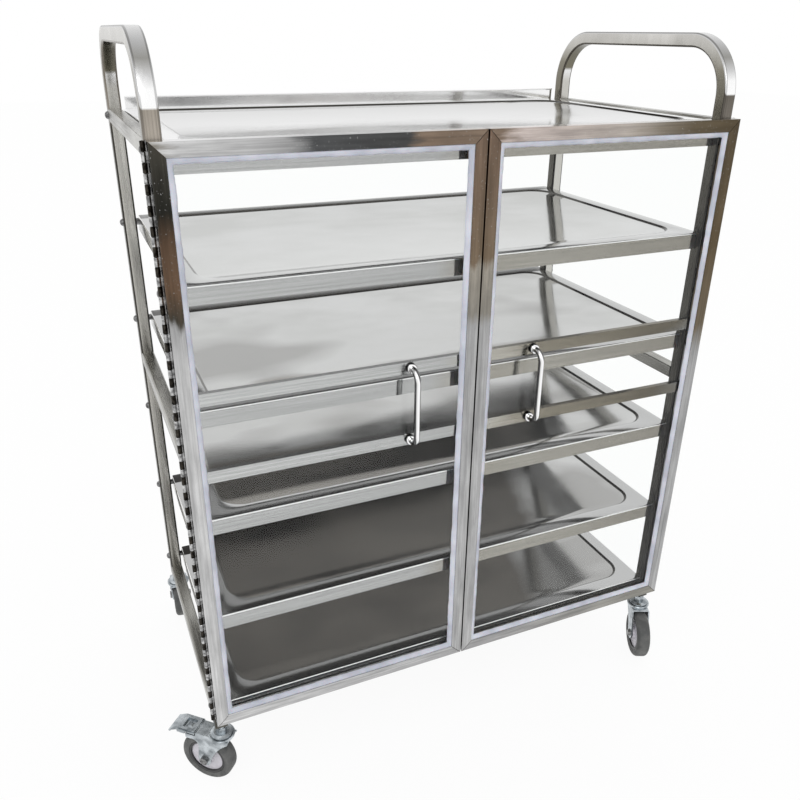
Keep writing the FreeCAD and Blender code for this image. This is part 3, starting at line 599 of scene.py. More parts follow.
# Sheet stainless with reflections painted into its colour: pale upper decks, dim lower ones, a painted
# highlight on the folds and painted dark lines at the pressed step
def makeDeckSteel(name, look):
    material, tree, shader, coords = startMaterial(name, {"Metallic": 1.0})
    source = coords["Object"]
    x, y, z = splitXYZ(tree, source)
    clouds = stretchedNoise(tree, source, look["mottle"])
    mottle = remap(tree, clouds, *look["mottleBand"])
    broad = remap(tree, stretchedNoise(tree, source, look["broad"], detail=2.0), *look["broadBand"])
    lines = stretchedNoise(tree, source, look["grain"], detail=2.0)
    turned = addNode(tree, "ShaderNodeMapping", {"Vector": source, "Rotation": look["scratchTurn"]})
    scratch = stretchedNoise(tree, turned.outputs[0], look["scratches"], detail=1.0)
    scratch = remap(tree, scratch, *look["scratchBand"])

    pale = mixColour(tree, mottle, look["pale"], look["paler"])
    pale = mixColour(tree, remap(tree, z, *look["topHeight"]), pale, look["top"])
    lowDown = remap(tree, z, *look["darkPatchHeight"], 0.0, look["darkPatchShare"])
    pale = mixColour(tree, times(tree, broad, lowDown), pale, look["darkPatch"])
    dim = mixColour(tree, mottle, look["dimmer"], look["dim"])
    dim = mixColour(tree, times(tree, scratch, look["scratchShare"]), dim, look["pale"])

    (lowZ, lowReach), (midZ, midReach), (highZ, highReach) = look["dimReach"]
    steep = remap(tree, z, lowZ, midZ, lowReach, midReach)
    gentle = remap(tree, z, midZ, highZ, midReach, highReach)
    reach = mixValue(tree, above(tree, z, look["dimSwitch"]), steep, gentle)
    behind = minus(tree, shake(tree, reach, clouds, look["dimReachShake"]), y)
    behind = remap(tree, behind, -look["dimReachSoft"], look["dimReachSoft"])
    edgeX = plus(tree, times(tree, y, look["dimSlope"]), look["dimFrom"])
    beside = minus(tree, shake(tree, edgeX, clouds, look["dimShake"]), x)
    beside = remap(tree, beside, -look["dimSoft"], look["dimSoft"])
    deck = mixColour(tree, times(tree, behind, beside), pale, dim)

    row = remap(tree, shake(tree, x, clouds, look["flangeShake"]), -trolley["endX"], trolley["endX"])
    flange = vary(tree, ramp(tree, row, look["flange"]), lines, look["flangeTone"])
    isRear = times(tree, above(tree, y, look["rearFrom"]), below(tree, z, look["topFrom"]))
    border = mixColour(tree, isRear, look["sideBorder"], look["rearBorder"])
    border = mixColour(tree, above(tree, z, look["topFrom"]), border, look["topBorder"])
    tones = {zone: look[zone] for zone in ("fold", "step", "under", "upstand")}
    colour = paintZones(tree, flange, trayZone, {"deck": deck, "border": border, **tones})
    finishSurface(tree, shader, colour, mottle, look["roughness"], band=(0.0, 1.0))
    return material


pullChrome = {
    # painted reflection of the room, by where the bar's surface faces
    "room": [(0.0, 120), (0.12, 40), (0.22, 225), (0.55, 255), (0.72, 235), (0.80, 50), (0.90, 70),
             (1.0, 170)],
    "upShare": 0.8,
    "wave": (60.0, 60.0, 12.0),
    "waveShare": 0.25,
    "roughness": 0.05,
}


# Mirror chrome on a thin bar: the room's reflection is painted into its colour as bright and dark lines
# along it
def makeChrome(name, look):
    values = {"Metallic": 1.0, "Roughness": look["roughness"]}
    material, tree, shader, coords = startMaterial(name, values)
    right, up = splitXYZ(tree, coords["Normal"])[::2]
    turn = plus(tree, right, times(tree, up, look["upShare"]))
    wave = stretchedNoise(tree, coords["Object"], look["wave"], detail=2.0)
    row = remap(tree, shake(tree, turn, wave, look["waveShare"]), -1.0, 1.0)
    tree.links.new(ramp(tree, row, look["room"]), shader.inputs["Base Color"])
    return material


glassLook = {
    "tint": (0.985, 0.995, 0.99, 1.0),
    "ior": 1.22,
    "smear": (3.0, 3.0, 2.0),
    "smearBand": (0.55, 0.8),
    "smearRoughness": (0.0, 0.02),
}


# Clear pane. Light and shadow pass straight through, so the trays inside stay lit
def makeGlass(name, look):
    values = {"Base Color": look["tint"], "IOR": look["ior"], "Transmission Weight": 1.0}
    material, tree, shader, coords = startMaterial(name, values)
    smear = stretchedNoise(tree, coords["Object"], look["smear"], detail=5.0)
    roughness = remap(tree, smear, *look["smearBand"], *look["smearRoughness"])
    tree.links.new(roughness, shader.inputs["Roughness"])
    path = addNode(tree, "ShaderNodeLightPath").outputs
    passing = mathNode(tree, "MAXIMUM", path["Is Shadow Ray"], path["Is Diffuse Ray"])
    overlay(tree, passing, shader, addNode(tree, "ShaderNodeBsdfTransparent"))
    return material


# Plated metals: pale tone, dark tone, roughness where pale and where dark, patches per metre.
# Mouldings: colour, dust, roughness, grains per metre, relief of the grains
steel = {
    "end": makeArchSteel("satin_end_steel", archSteel),
    "rail": makePatchy("satin_rail_steel", barSteel),
    "midRail": makeMidRailSteel("mid_rail_steel", midRailSteel),
    "leftDoor": makeDoorSteel("mirror_door_steel_left", -1.0, doorSteel),
    "rightDoor": makeDoorSteel("mirror_door_steel_right", 1.0, doorSteel),
    "deck": makeDeckSteel("pressed_deck_steel", deckSteel),
    "chrome": makeChrome("chrome_pull", pullChrome),
}
for key, name, look in (
    ("hinge", "hinge_steel", plated(shade(208), shade(120), (0.20, 0.36), 200.0)),
    # the frame leaf's hinge steel is a darkened copy of the one above: painted dark reflection
    ("darkHinge", "dark_hinge_steel", plated(shade(70, 66, 60), shade(24, 22, 20), (0.28, 0.45), 200.0)),
    ("fastener", "fastener_steel", plated(shade(150), shade(70), (0.14, 0.26), 220.0)),
    ("zinc", "zinc_plate", plated(shade(202, 208, 212), shade(136, 142, 146), (0.22, 0.38), 70.0)),
):
    steel[key] = makePatchy(name, look)
clearGlass = makeGlass("clear_pane", glassLook)
silicone = makePatchy("white_silicone", siliconeLook)
tyreRubber = makePatchy(
    "grey_rubber", moulded((0.075, 0.077, 0.076), (0.15, 0.15, 0.145), (0.55, 0.75), 900.0, 0.00006))
hubPlastic = makePatchy(
    "pale_hub_plastic", moulded((0.60, 0.58, 0.63), (0.50, 0.49, 0.52), (0.30, 0.45), 500.0, 0.00003))
ringPlastic = makePatchy(
    "black_ring_plastic", moulded((0.012, 0.012, 0.013), (0.03, 0.03, 0.03), (0.30, 0.45), 500.0, 0.00003))
print("stage 2: materials are ready")


def dress(node, material):
    shown = frame["nodes"][node]
    shown.data.materials.clear()
    shown.data.materials.append(material)


# End frames: square tube bent over the top
endFrame = {
    "archRadius": 92.0 * mm,
    "cornerRadius": 3.0 * mm,
    "cornerSteps": 5,
    "bendSteps": 28,
}


def makeEndFrame(side):
    half = trolley["tube"] / 2
    x = side * (trolley["endX"] - half)
    y = trolley["endY"] - half
    top = trolley["archTop"] - half
    bottom = trolley["postBottom"]
    corners = [(x, -y, bottom), (x, -y, top), (x, y, top), (x, y, bottom)]
    path = roundedPath(corners, endFrame["archRadius"] - half, endFrame["bendSteps"])
    tube = trolley["tube"]
    section = roundedLoop(tube, tube, endFrame["cornerRadius"], endFrame["cornerSteps"])
    name = "leftArch" if side < 0 else "rightArch"

    # sides run along the second direction, the outer and inner faces along the first, edges along both
    def zoneOf(pair, point):
        (a1, b1), (a2, b2) = section[point], section[(point + 1) % len(section)]
        zone = "outer" if b1 < 0 else "inner"
        if abs(a1 - a2) < 1e-6:
            zone = "side"
        elif abs(b1 - b2) > 1e-6:
            zone = "edge"
        return float(archZone[zone])

    mesh = sweepSection(name, path, (1, 0, 0), section, zoneOf=zoneOf)
    piece = makePiece(name, mesh, steel["end"], smoothAngle=30.0)
    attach(piece, "cart_frame")
    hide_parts("left_end_frame" if side < 0 else "right_end_frame")


for side in (-1, 1):
    makeEndFrame(side)


# Shelves: folded trays with a pressed deck
shelfPressing = {
    "sheet": 1.0 * mm,
    "corner": 4.0 * mm,
    "leastCorner": 1.2 * mm,
    "cornerSteps": 10,
    "fold": 2.0 * mm,
    "foldSteps": 4,
    "border": 26.0 * mm,
    "recessRadius": 40.0 * mm,
    "recessDepth": 3.0 * mm,
    "stepRadius": 1.4 * mm,
    "easeOut": 0.4,  # shares of the step's rounding at its upper and lower edge
    "easeDown": 0.5,
    "upstand": 18.0 * mm,
    "bead": 1.5 * mm,
    "beadTurn": 210.0,
    "beadSteps": 12,
    "tallerThan": 45.0 * mm,  # only the tray with the upstand is
}


# Top of a tray's border, below the upstand where it has one
def trayTop(low, high):
    look = shelfPressing
    return high.z - (look["upstand"] + look["bead"] if high.z - low.z > look["tallerThan"] else 0.0)


# One skin of a tray, from the flange's lower edge to the deck; the inner skin has the sheet as inset
def trayLoops(low, high, inset):
    look = shelfPressing
    width = (high.x - low.x) - 2 * inset
    depth = (high.y - low.y) - 2 * inset
    top = trayTop(low, high) - inset
    fold = look["fold"] - inset
    loops = []

    def addLoop(shrink, z, radius):
        points = roundedLoop(width - 2 * shrink, depth - 2 * shrink, radius, look["cornerSteps"])
        loops.append([Vector((px, py, z)) for px, py in points])

    corner = look["corner"] - inset
    addLoop(0.0, low.z, corner)
    addLoop(0.0, top - fold, corner)
    for i in range(1, look["foldSteps"] + 1):
        angle = math.radians(90.0 * i / look["foldSteps"])
        shrink = fold * (1 - math.cos(angle))
        addLoop(shrink, top - fold + fold * math.sin(angle), max(corner - shrink, look["leastCorner"]))
    border = look["border"] - inset
    drop = look["recessDepth"]
    shift = inset * (math.sqrt(2.0) - 1.0)  # keeps the sheet's thickness over the sloping step
    ease = look["stepRadius"] / 2
    out, down = ease * look["easeOut"], ease * look["easeDown"]
    radius = look["recessRadius"] + shift
    addLoop(border - shift - ease, top, radius + ease)
    addLoop(border - shift + out, top - down, radius - out)
    addLoop(border - shift + drop - out, top - drop + down, radius - drop + out)
    addLoop(border - shift + drop + ease, top - drop, radius - drop - ease)
    return loops


# Skinned from the deck's underside out to the rim, up the flange and over the fold to the deck
def makeShelf(node):
    low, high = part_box(node)
    loops = trayLoops(low, high, shelfPressing["sheet"])[::-1] + trayLoops(low, high, 0.0)
    steps = shelfPressing["foldSteps"]
    kinds = ["under"] * (steps + 5) + ["flange"] * 2 + ["fold"] * steps + ["border"] + ["step"] * 3
    kinds.append("deck")

    def zoneOf(pair, point):
        return float(trayZone[kinds[pair] if pair >= 0 else "under"])

    mesh = loftLoops(node + "_tray", loops, zoneOf=zoneOf)
    piece = makePiece(node + "_tray", mesh, steel["deck"], smoothAngle=25.0)
    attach(piece, "cart_frame")
    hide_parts(node)


def makeUpstand():
    low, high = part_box("top_shelf")
    look = shelfPressing
    half = (high.x - low.x) / 2 - look["corner"]
    back = high.y
    top = high.z
    bead = look["bead"]
    sheet = look["sheet"]
    base = trayTop(low, high) - look["fold"]
    section = [(back, base), (back, top - bead)]
    for i in range(1, look["beadSteps"] + 1):
        angle = math.radians(look["beadTurn"] * i / look["beadSteps"])
        section.append((back - bead + bead * math.cos(angle), top - bead + bead * math.sin(angle)))
    section.append((back - sheet, top - 2 * bead))
    section.append((back - sheet, base))
    loops = [[Vector((x, py, pz)) for py, pz in section] for x in (-half, half)]
    mesh = loftLoops("topUpstand", loops, zoneOf=lambda pair, point: float(trayZone["upstand"]))
    piece = makePiece("topUpstand", mesh, steel["deck"], smoothAngle=30.0)
    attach(piece, "cart_frame")
    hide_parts("top_shelf")


for node in shelfNodes:
    makeShelf(node)
makeUpstand()
print("stage 3: end frames and shelves are dressed")


# A tree with a geometry input, an input for each name and kind of value, and a material input
def startTree(name, inputs):
    tree = bpy.data.node_groups.new(name, "GeometryNodeTree")
    for label, kind in {"Geometry": "Geometry", **inputs, "Material": "Material"}.items():
        tree.interface.new_socket(label, in_out="INPUT", socket_type="NodeSocket" + kind)
    tree.interface.new_socket("Geometry", in_out="OUTPUT", socket_type="NodeSocketGeometry")
    return tree, addNode(tree, "NodeGroupInput").outputs


# Sets the seed mesh on every point
def setOnPoints(tree, points, seed):
    values = {"Points": points, "Instance": seed}
    return addNode(tree, "GeometryNodeInstanceOnPoints", values).outputs[0]


def endTree(tree, source, geometry):
    realized = addNode(tree, "GeometryNodeRealizeInstances", {0: geometry}).outputs[0]
    painted = addNode(tree, "GeometryNodeSetMaterial", {0: realized, "Material": source["Material"]})
    tree.links.new(painted.outputs[0], addNode(tree, "NodeGroupOutput").inputs[0])
    return tree


# Runs a tree on a seed mesh and keeps the result as a plain piece
def growPiece(name, seedMesh, tree, values, material, smoothAngle=35.0):
    seed = addObject(name + "Seed", seedMesh)
    modifier = seed.modifiers.new("grow", "NODES")
    modifier.node_group = tree
    inputs = {**values, "Material": material}
    for item in tree.interface.items_tree:
        if item.in_out == "INPUT" and item.name in inputs:
            modifier[item.identifier] = inputs[item.name]
    graph = bpy.context.evaluated_depsgraph_get()
    mesh = bpy.data.meshes.new_from_object(seed.evaluated_get(graph))
    seed.modifiers.remove(modifier)
    bpy.data.objects.remove(seed)
    return makePiece(name, mesh, material, smoothAngle)


# Shelf bolts: a dome head at every post and level, on both ends
shelfBolt = {
    "headRadius": 6.5 * mm,
    "headHeight": 5.5 * mm,
    "collar": 0.8 * mm,
    "domeShare": 0.94,  # the dome starts a little inside the collar
    "domeSteps": 8,
    "sides": 32,
}


# A column of seeds, doubled at the second post and turned round to the other end
def makeBoltTree():
    kinds = {"Levels": "Int", "Pitch": "Float", "Post Spacing": "Float", "First": "Vector"}
    tree, source = startTree("boltRows", kinds)
    down = addNode(tree, "ShaderNodeCombineXYZ", {"Z": times(tree, source["Pitch"], -1.0)})
    rows = {"Count": source["Levels"], "Start Location": source["First"], "Offset": down.outputs[0]}
    column = addNode(tree, "GeometryNodeMeshLine", rows)
    across = addNode(tree, "ShaderNodeCombineXYZ", {"Y": source["Post Spacing"]})
    posts = addNode(tree, "GeometryNodeMeshLine", {"Count": 2, "Offset": across.outputs[0]})
    stacked = setOnPoints(tree, column.outputs[0], source[0])
    doubled = setOnPoints(tree, posts.outputs[0], stacked)
    turned = addNode(tree, "GeometryNodeTransform", {0: doubled, "Rotation": (0.0, 0.0, math.pi)})
    joined = addNode(tree, "GeometryNodeJoinGeometry")
    tree.links.new(doubled, joined.inputs[0])
    tree.links.new(turned.outputs[0], joined.inputs[0])
    return endTree(tree, source, joined.outputs[0])


def makeShelfBolts():
    look = shelfBolt
    r, h, c = look["headRadius"], look["headHeight"], look["collar"]
    profile = [(0.0, 0.0), (r, 0.0), (r, c)]
    for i in range(1, look["domeSteps"] + 1):
        angle = math.radians(90.0 * i / look["domeSteps"])
        profile.append((r * look["domeShare"] * math.cos(angle), c + (h - c) * math.sin(angle)))
    seed = lathe("boltHead", profile, (0, 0, 0), (-1, 0, 0), look["sides"])
    low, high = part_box("shelf_bolts")
    values = {
        "Levels": len(shelfNodes),
        "Pitch": (high.z - low.z - 2 * r) / (len(shelfNodes) - 1),
        "Post Spacing": high.y - low.y - 2 * r,
        "First": (-trolley["endX"], low.y + r, high.z - r),
    }
    piece = growPiece("shelfBoltHeads", seed, makeBoltTree(), values, steel["fastener"])
    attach(piece, "cart_frame")
    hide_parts("shelf_bolts")


makeShelfBolts()


# Piano hinges: knuckles of the two leaves alternate along the pin
pianoHinge = {
    "knuckles": 73,
    "radius": 3.0 * mm,
    "ease": 0.4 * mm,
    "gap": 0.7 * mm,
    "leaf": 0.9 * mm,
    "leafFace": 1.0 * mm,  # from the pin's middle to a leaf's outer face
    "leafEdge": 20.0 * mm,
    "stripStart": 3.5 * mm,
    "sides": 20,
}


def makeHingeTree():
    tree, source = startTree("hingeKnuckles", {"Count": "Int", "Pitch": "Float", "First": "Vector"})
    up = addNode(tree, "ShaderNodeCombineXYZ", {"Z": source["Pitch"]})
    rows = {"Count": source["Count"], "Start Location": source["First"], "Offset": up.outputs[0]}
    line = addNode(tree, "GeometryNodeMeshLine", rows)
    return endTree(tree, source, setOnPoints(tree, line.outputs[0], source[0]))


hingeTree = makeHingeTree()


# One rolled knuckle with its tab, standing on z 0; y is towards the leaf's face
def makeKnuckle(side, faceLow, faceHigh, length):
    look = pianoHinge
    r, ease = look["radius"], look["ease"]
    profile = [(0.0, 0.0), (r - ease, 0.0), (r, ease),
               (r, length - ease), (r - ease, length), (0.0, length)]
    work = bmesh.new()
    work.from_mesh(lathe("roll", profile, (0, 0, 0), (0, 0, 1), look["sides"]))
    reach = -side * look["stripStart"]
    tab = [(0.0, faceLow), (reach, faceLow), (reach, faceHigh), (0.0, faceHigh)]
    bottom = [work.verts.new((x, y, 0.0)) for x, y in tab]
    top = [work.verts.new((x, y, length)) for x, y in tab]
    work.faces.new(bottom[::-1])
    work.faces.new(top)
    for i in range(4):
        k = (i + 1) % 4
        work.faces.new((bottom[i], bottom[k], top[k], top[i]))
    return bmeshToMesh("knuckle", work)


def makeHingeLeaf(side, doorLeaf):
    look = pianoHinge
    word = "left" if side < 0 else "right"
    node = word + ("_hinge_door_leaf" if doorLeaf else "_hinge_frame_leaf")
    low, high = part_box(word + "_hinge_pin")
    x, y = (low.x + high.x) / 2, (low.y + high.y) / 2
    bottom, top = low.z, high.z
    count = look["knuckles"]
    pitch = (top - bottom) / count
    face, leaf = look["leafFace"], look["leaf"]
    faceLow, faceHigh = (-face, -face + leaf) if doorLeaf else (face - leaf, face)
    first = 1 if doorLeaf else 0
    seed = makeKnuckle(side, faceLow, faceHigh, pitch - look["gap"])
    values = {
        "Count": len(range(first, count, 2)),
        "Pitch": 2 * pitch,
        "First": (x, y, bottom + first * pitch + look["gap"] / 2),
    }
    # the frame leaf takes the darkened hinge steel, a painted dark reflection
    finish = steel["hinge" if doorLeaf else "darkHinge"]
    knuckles = growPiece(node + "Knuckles", seed, hingeTree, values, finish, smoothAngle=40.0)
    a = x - side * look["stripStart"]
    b = x - side * look["leafEdge"]
    loops = []
    for z in (bottom, top):
        loops.append([Vector((a, y + faceLow, z)), Vector((b, y + faceLow, z)),
                      Vector((b, y + faceHigh, z)), Vector((a, y + faceHigh, z))])
    strip = makePiece(node + "Strip", loftLoops(node + "Strip", loops), finish)
    body = word + "_door" if doorLeaf else "cart_frame"
    for piece in (knuckles, strip):
        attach(piece, body)
        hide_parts(node)


for side in (-1, 1):
    makeHingeLeaf(side, False)
    makeHingeLeaf(side, True)
print("stage 4: bolts and hinges are grown")


# Silicone bead round each pane
bead = {
    "widthFront": 3.0 * mm,
    "widthGlass": 8.0 * mm,
    "rise": 4.5 * mm,
    "clearance": 0.1 * mm,  # from the pane, and from the front of the CAD's seal
    "crestDrops": (0.0006, 0.0009),  # how far the face lies behind its crest on either side of it
    # (share of the width, height over the pane) where the bead thins out towards the glass
    "skirt": [(0.72, 0.0022), (1.0, 0.0004)],
    "cornerEase": 12.0 * mm,  # the inset swings round over this length at each corner
    "unevenness": 1.1 * mm,
    "waves": 55.0,
    "waveShare": 0.8,
    "ripples": 190.0,
    "rippleShare": 0.35,
    "rippleDepth": 0.0004,
    "spacing": 4.0 * mm,
}


# Points round a rectangle every few millimetres, each with the direction that leads inwards
def denseOutline(width, height, spacing, ease):
    points = []
    sides = [((1, -1), (1, 1)), ((1, 1), (-1, 1)), ((-1, 1), (-1, -1)), ((-1, -1), (1, -1))]
    for (ax, az), (bx, bz) in sides:
        start = Vector((ax * width / 2, az * height / 2))
        end = Vector((bx * width / 2, bz * height / 2))
        run = end - start
        length = run.length
        run.normalize()
        inward = Vector((-run.y, run.x))
        count = int(length / spacing)
        for i in range(count):
            t = i / count
            fromStart, fromEnd = length * t, length * (1 - t)
            lead = inward.copy()
            if fromStart < ease:
                lead = inward + run * (1 - fromStart / ease)
            elif fromEnd < ease:
                lead = inward - run * (1 - fromEnd / ease)
            points.append((start + run * fromStart, lead))
    return points


def makeBead(side):
    word = "left" if side < 0 else "right"
    low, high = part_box(word + "_door_seal")
    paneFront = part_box(word + "_door_glass")[0].y
    look = bead
    centre = Vector(((high.x + low.x) / 2, 0.0, (high.z + low.z) / 2))
    outline = denseOutline(high.x - low.x, high.z - low.z, look["spacing"], look["cornerEase"])
    glass = paneFront - look["clearance"]
    crest = glass - look["rise"]
    front, width = look["widthFront"], look["widthGlass"]
    innerDrop, outerDrop = look["crestDrops"]
    sections = [(0.0, crest + innerDrop), (front * 0.5, crest), (front, crest + outerDrop)]
    sections += [(width * share, glass - over) for share, over in look["skirt"]]
    sections += [(width, glass), (0.0, glass)]
    loops = []
    for index, (inset, y) in enumerate(sections):
        loop = []
        for point, inward in outline:
            wave, ripple = (noise.noise(Vector((point.x * scale, side * row, point.y * scale)))
                            for scale, row in ((look["waves"], 3.1), (look["ripples"], 7.7)))
            swell = look["unevenness"] * (look["waveShare"] * wave + look["rippleShare"] * ripple)
            spot = point + inward * (inset + swell * (inset / width))
            depth = y
            if index < 5:  # the exposed face; the last two rows lie on the pane
                rippled = y + (look["rippleDepth"] * ripple if 0 < index < 4 else 0.0)
                depth = max(rippled, low.y + look["clearance"])
            loop.append(Vector((centre.x + spot.x, depth, centre.z + spot.y)))
        loops.append(loop)
    mesh = loftLoops(word + "Bead", loops, joinEnds=True)
    piece = makePiece(word + "Bead", mesh, silicone, smoothAngle=60.0)
    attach(piece, word + "_door")
    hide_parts(word + "_door_seal")


for side in (-1, 1):
    makeBead(side)


# Bow pulls: a bent round bar on two feet
bowPull = {
    "bar": 4.75 * mm,
    "bend": 15.0 * mm,
    "foot": 8.0 * mm,
    "footHeight": 2.5 * mm,
    # (share of the foot's radius, share of its height) of the rounded rim
    "footRim": [(1.0, 0.5), (0.93, 0.85), (0.8, 1.0)],
    "footSides": 36,
    "sides": 28,
    "bendSteps": 18,
}


def makePull(side):
    word = "left" if side < 0 else "right"
    low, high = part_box(word + "_door_pull")
    look = bowPull
    x = (low.x + high.x) / 2
    front = low.y + look["bar"]
    back = high.y
    top, bottom = high.z - look["foot"], low.z + look["foot"]
    corners = [(x, back, top), (x, front, top), (x, front, bottom), (x, back, bottom)]
    path = roundedPath(corners, look["bend"], look["bendSteps"])
    circle = []
    for i in range(look["sides"]):
        angle = 2 * math.pi * i / look["sides"]
        circle.append((look["bar"] * math.cos(angle), look["bar"] * math.sin(angle)))
    meshes = [(word + "PullBar", sweepSection(word + "PullBar", path, (1, 0, 0), circle))]
    r, h = look["foot"], look["footHeight"]
    rim = [(r * wide, h * rise) for wide, rise in look["footRim"]]
    profile = [(0.0, 0.0), (r, 0.0)] + rim + [(0.0, h)]
    for tag, z in (("Upper", top), ("Lower", bottom)):
        name = word + tag + "Foot"
        meshes.append((name, lathe(name, profile, (x, back, z), (0, -1, 0), look["footSides"])))
    for name, mesh in meshes:
        piece = makePiece(name, mesh, steel["chrome"], smoothAngle=50.0)
        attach(piece, word + "_door")
        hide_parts(word + "_door_pull")


for side in (-1, 1):
    makePull(side)
print("stage 5: beads and pulls are made")


# Wheels of the casters: a crowned tyre on a moulded core with a black ring
caster = {
    "tyreShoulder": 7.0 * mm,
    "shoulderSteps": 8,
    "crown": 0.02 * mm,
    "rimRadius": 35.0 * mm,
    "rimGap": 0.05 * mm,
    "bore": 5.1 * mm,
    "ringWidth": 5.0 * mm,
    "hubBoss": 13.0 * mm,
    "tyreHalf": 13.0 * mm,
    "seatHalf": 11.5 * mm,
    "bossHalf": 14.0 * mm,
    "webHalf": 8.5 * mm,
    "webRootHalf": 10.0 * mm,
    "sides": 72,
}


def jointAxis(name):
    joint = next(item for item in frame["joints"] if item["name"] == name)
    return Vector(joint["pos_m"]), Vector(joint["axis"]).normalized()


def makeTyre(name):
    centre, axis = jointAxis(name + "_wheel_joint")
    tread = centre.z  # the wheel stands on the floor
    half, shoulder = caster["tyreHalf"], caster["tyreShoulder"]
    steps = caster["shoulderSteps"]
    flank = [(caster["rimRadius"], -caster["seatHalf"]), (tread - shoulder, -half)]
    for i in range(1, steps):
        angle = math.radians(90.0 * i / steps)
        flank.append((tread - shoulder + shoulder * math.sin(angle),
                      -half + shoulder * (1 - math.cos(angle))))
    crown = []
    for t in (-1.0, -0.5, 0.0, 0.5, 1.0):
        crown.append((tread - caster["crown"] * t * t, (half - shoulder) * t))
    section = flank + crown + [(r, -h) for r, h in reversed(flank)]
    mesh = latheRing(name + "Tread", section, centre, axis, caster["sides"])
    piece = makePiece(name + "Tread", mesh, tyreRubber, smoothAngle=40.0)
    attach(piece, name + "_wheel")
    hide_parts(name + "_tyre")


# Core and ring are sections of (radius, half width), mirrored to the other side
def makeHub(name):
    centre, axis = jointAxis(name + "_wheel_joint")
    rim = caster["rimRadius"] - caster["rimGap"]
    ring = caster["rimRadius"] - caster["ringWidth"]
    boss = caster["hubBoss"]
    face, web, root, seat = (caster[key] for key in ("bossHalf", "webHalf", "webRootHalf", "seatHalf"))
    core = [(caster["bore"], face), (boss - 1.0 * mm, face), (boss, face - 0.7 * mm),
            (boss + 1.0 * mm, root + 0.4 * mm), (boss + 2.2 * mm, root),
            (ring - 2.0 * mm, web + 0.2 * mm), (ring, web)]
    edge = [(ring + caster["rimGap"], web - 0.5 * mm), (ring + 0.4 * mm, seat - 0.9 * mm),
            (ring + 1.2 * mm, seat), (rim - 0.6 * mm, seat), (rim, seat - 0.5 * mm)]
    for word, half, plastic in (("Hub", core, hubPlastic), ("BlackRing", edge, ringPlastic)):
        section = half + [(r, -h) for r, h in reversed(half)]
        mesh = latheRing(name + word, section, centre, axis, caster["sides"])
        part = makePiece(name + word, mesh, plastic)
        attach(part, name + "_wheel")
        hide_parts(name + "_wheel_core")


# Balls of the swivels, dressing only: the CAD has no node for them
swivelRace = {"balls": 18, "ringRadius": 15.2 * mm, "ball": 1.1 * mm, "height": 107.7 * mm}


def makeBallTree():
    kinds = {"Balls": "Int", "Ring Radius": "Float", "Centre": "Vector"}
    tree, source = startTree("bearingBalls", kinds)
    ring = {"Vertices": source["Balls"], "Radius": source["Ring Radius"]}
    circle = addNode(tree, "GeometryNodeMeshCircle", ring).outputs[0]
    placed = addNode(tree, "GeometryNodeTransform", {0: circle, "Translation": source["Centre"]})
    return endTree(tree, source, setOnPoints(tree, placed.outputs[0], source[0]))


ballTree = makeBallTree()


def makeBearing(name):
    centre = jointAxis(name + "_swivel_joint")[0]
    work = bmesh.new()
    bmesh.ops.create_icosphere(work, subdivisions=2, radius=swivelRace["ball"])
    seed = bmeshToMesh("ball", work)
    values = {"Balls": swivelRace["balls"], "Ring Radius": swivelRace["ringRadius"],
              "Centre": (centre.x, centre.y, swivelRace["height"])}
    piece = growPiece(name + "Balls", seed, ballTree, values, steel["fastener"], smoothAngle=60.0)
    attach(piece, name + "_swivel")


for name in ("front_left", "front_right", "rear_left", "rear_right"):
    makeTyre(name)
    makeHub(name)
    makeBearing(name)
    dress(name + "_fork", steel["zinc"])
    dress(name + "_axle", steel["fastener"])
for name in ("front_left", "rear_right"):
    dress(name + "_brake_pedal", steel["zinc"])
dress("caster_stems", steel["zinc"])
dress("caster_top_races", steel["zinc"])
dress("stem_sockets", steel["end"])
print("stage 6: casters are made")

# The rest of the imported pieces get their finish
for word in ("left", "right"):
    for rail in ("top_rail", "middle_rail", "bottom_rail"):
        dress(word + "_" + rail, steel["rail"])
    dress(word + "_door_frame", steel[word + "Door"])
    dress(word + "_door_upper_rail", steel["midRail"])
    dress(word + "_door_lower_rail", steel["midRail"])
    dress(word + "_door_glass", clearGlass)
    dress(word + "_pull_screws", steel["fastener"])
    # the pin takes the darkened hinge steel, a painted dark reflection
    dress(word + "_hinge_pin", steel["darkHinge"])
dress("spacer_nuts", steel["fastener"])
dress("cap_nuts", steel["fastener"])

# Floor, world and key light
studio = {
    "floorSize": 30.0,
    "floorColour": (0.94, 0.94, 0.94, 1.0),
    "cameraShare": 0.93,  # how much of the floor the camera sees as plain white
    "worldLight": 0.95,
    "keyPower": 26.0,
    "keySize": 2.2,
    "keyPlace": (-1.6, -2.6, 3.2),
    "keyAim": (0.0, 0.0, 0.6),
    "white": (1.0, 1.0, 1.0, 1.0),
}


# 1 for what the camera sees straight, in a mirror or through glass
def seenByCamera(tree):
    path = addNode(tree, "ShaderNodeLightPath").outputs
    seen = mathNode(tree, "MAXIMUM", path["Is Camera Ray"], path["Is Glossy Ray"])
    return mathNode(tree, "MAXIMUM", seen, path["Is Transmission Ray"])


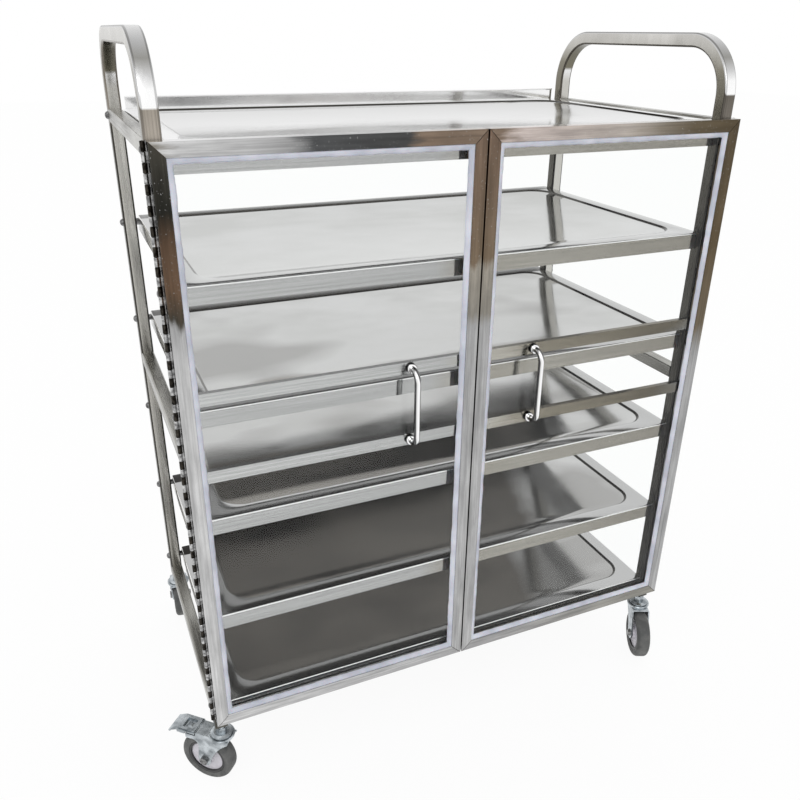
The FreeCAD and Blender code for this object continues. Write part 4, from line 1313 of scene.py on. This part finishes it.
def makeFloor():
    half = studio["floorSize"] / 2
    corners = [(-half, -half, 0), (half, -half, 0), (half, half, 0), (-half, half, 0)]
    mesh = bpy.data.meshes.new("studioFloor")
    mesh.from_pydata(corners, [], [(0, 1, 2, 3)])
    values = {"Base Color": studio["floorColour"], "Roughness": 0.9, "Specular IOR Level": 0.1}
    material, tree, shader = startMaterial("pale_floor", values)[:3]
    glow = addNode(tree, "ShaderNodeEmission", {"Color": studio["white"], "Strength": 1.0})
    overlay(tree, times(tree, seenByCamera(tree), studio["cameraShare"]), shader, glow)
    mesh.materials.append(material)
    floor = addObject("studioFloor", mesh)


def makeWorld():
    world = bpy.data.worlds.new("paleStudio")
    bpy.context.scene.world = world
    world.use_nodes = True
    tree = world.node_tree
    tree.nodes.clear()
    strength = remap(tree, seenByCamera(tree), 0.0, 1.0, studio["worldLight"], 1.0)
    background = addNode(tree, "ShaderNodeBackground", {"Color": studio["white"], "Strength": strength})
    output = addNode(tree, "ShaderNodeOutputWorld")
    tree.links.new(background.outputs[0], output.inputs[0])


def makeKeyLight():
    data = bpy.data.lights.new("softKey", "AREA")
    data.shape = "DISK"
    data.size = studio["keySize"]
    data.energy = studio["keyPower"]
    lamp = addObject("softKey", data)
    lamp.location = studio["keyPlace"]
    aim = Vector(studio["keyAim"]) - lamp.location
    lamp.rotation_euler = aim.to_track_quat("-Z", "Y").to_euler()


# The camera of the photograph, as fitted to it
viewpoint = {
    "place": (-0.5605, -1.2358, 1.1868),
    "heading": 23.88,  # degrees to the right of straight ahead
    "pitch": 25.10,
    "roll": 0.66,
    "lens": 35.48,
    "sensor": 36.0,
    "shift": (-0.00146, 0.00234),
    "clip": (0.05, 100.0),
}


def makeCamera():
    data = bpy.data.cameras.new("viewpoint")
    data.sensor_width = viewpoint["sensor"]
    data.lens = viewpoint["lens"]
    data.shift_x, data.shift_y = viewpoint["shift"]
    data.clip_start, data.clip_end = viewpoint["clip"]
    cam = addObject("viewpoint", data)
    turn = Matrix.Rotation(math.radians(-viewpoint["heading"]), 4, "Z")
    tilt = Matrix.Rotation(math.radians(90.0 - viewpoint["pitch"]), 4, "X")
    roll = Matrix.Rotation(math.radians(viewpoint["roll"]), 4, "Z")
    cam.matrix_world = Matrix.Translation(viewpoint["place"]) @ turn @ tilt @ roll
    bpy.context.scene.camera = cam


makeFloor()
makeWorld()
makeKeyLight()
makeCamera()
bpy.context.scene.view_settings.view_transform = "Standard"
print("stage 7: floor, light and camera stand")
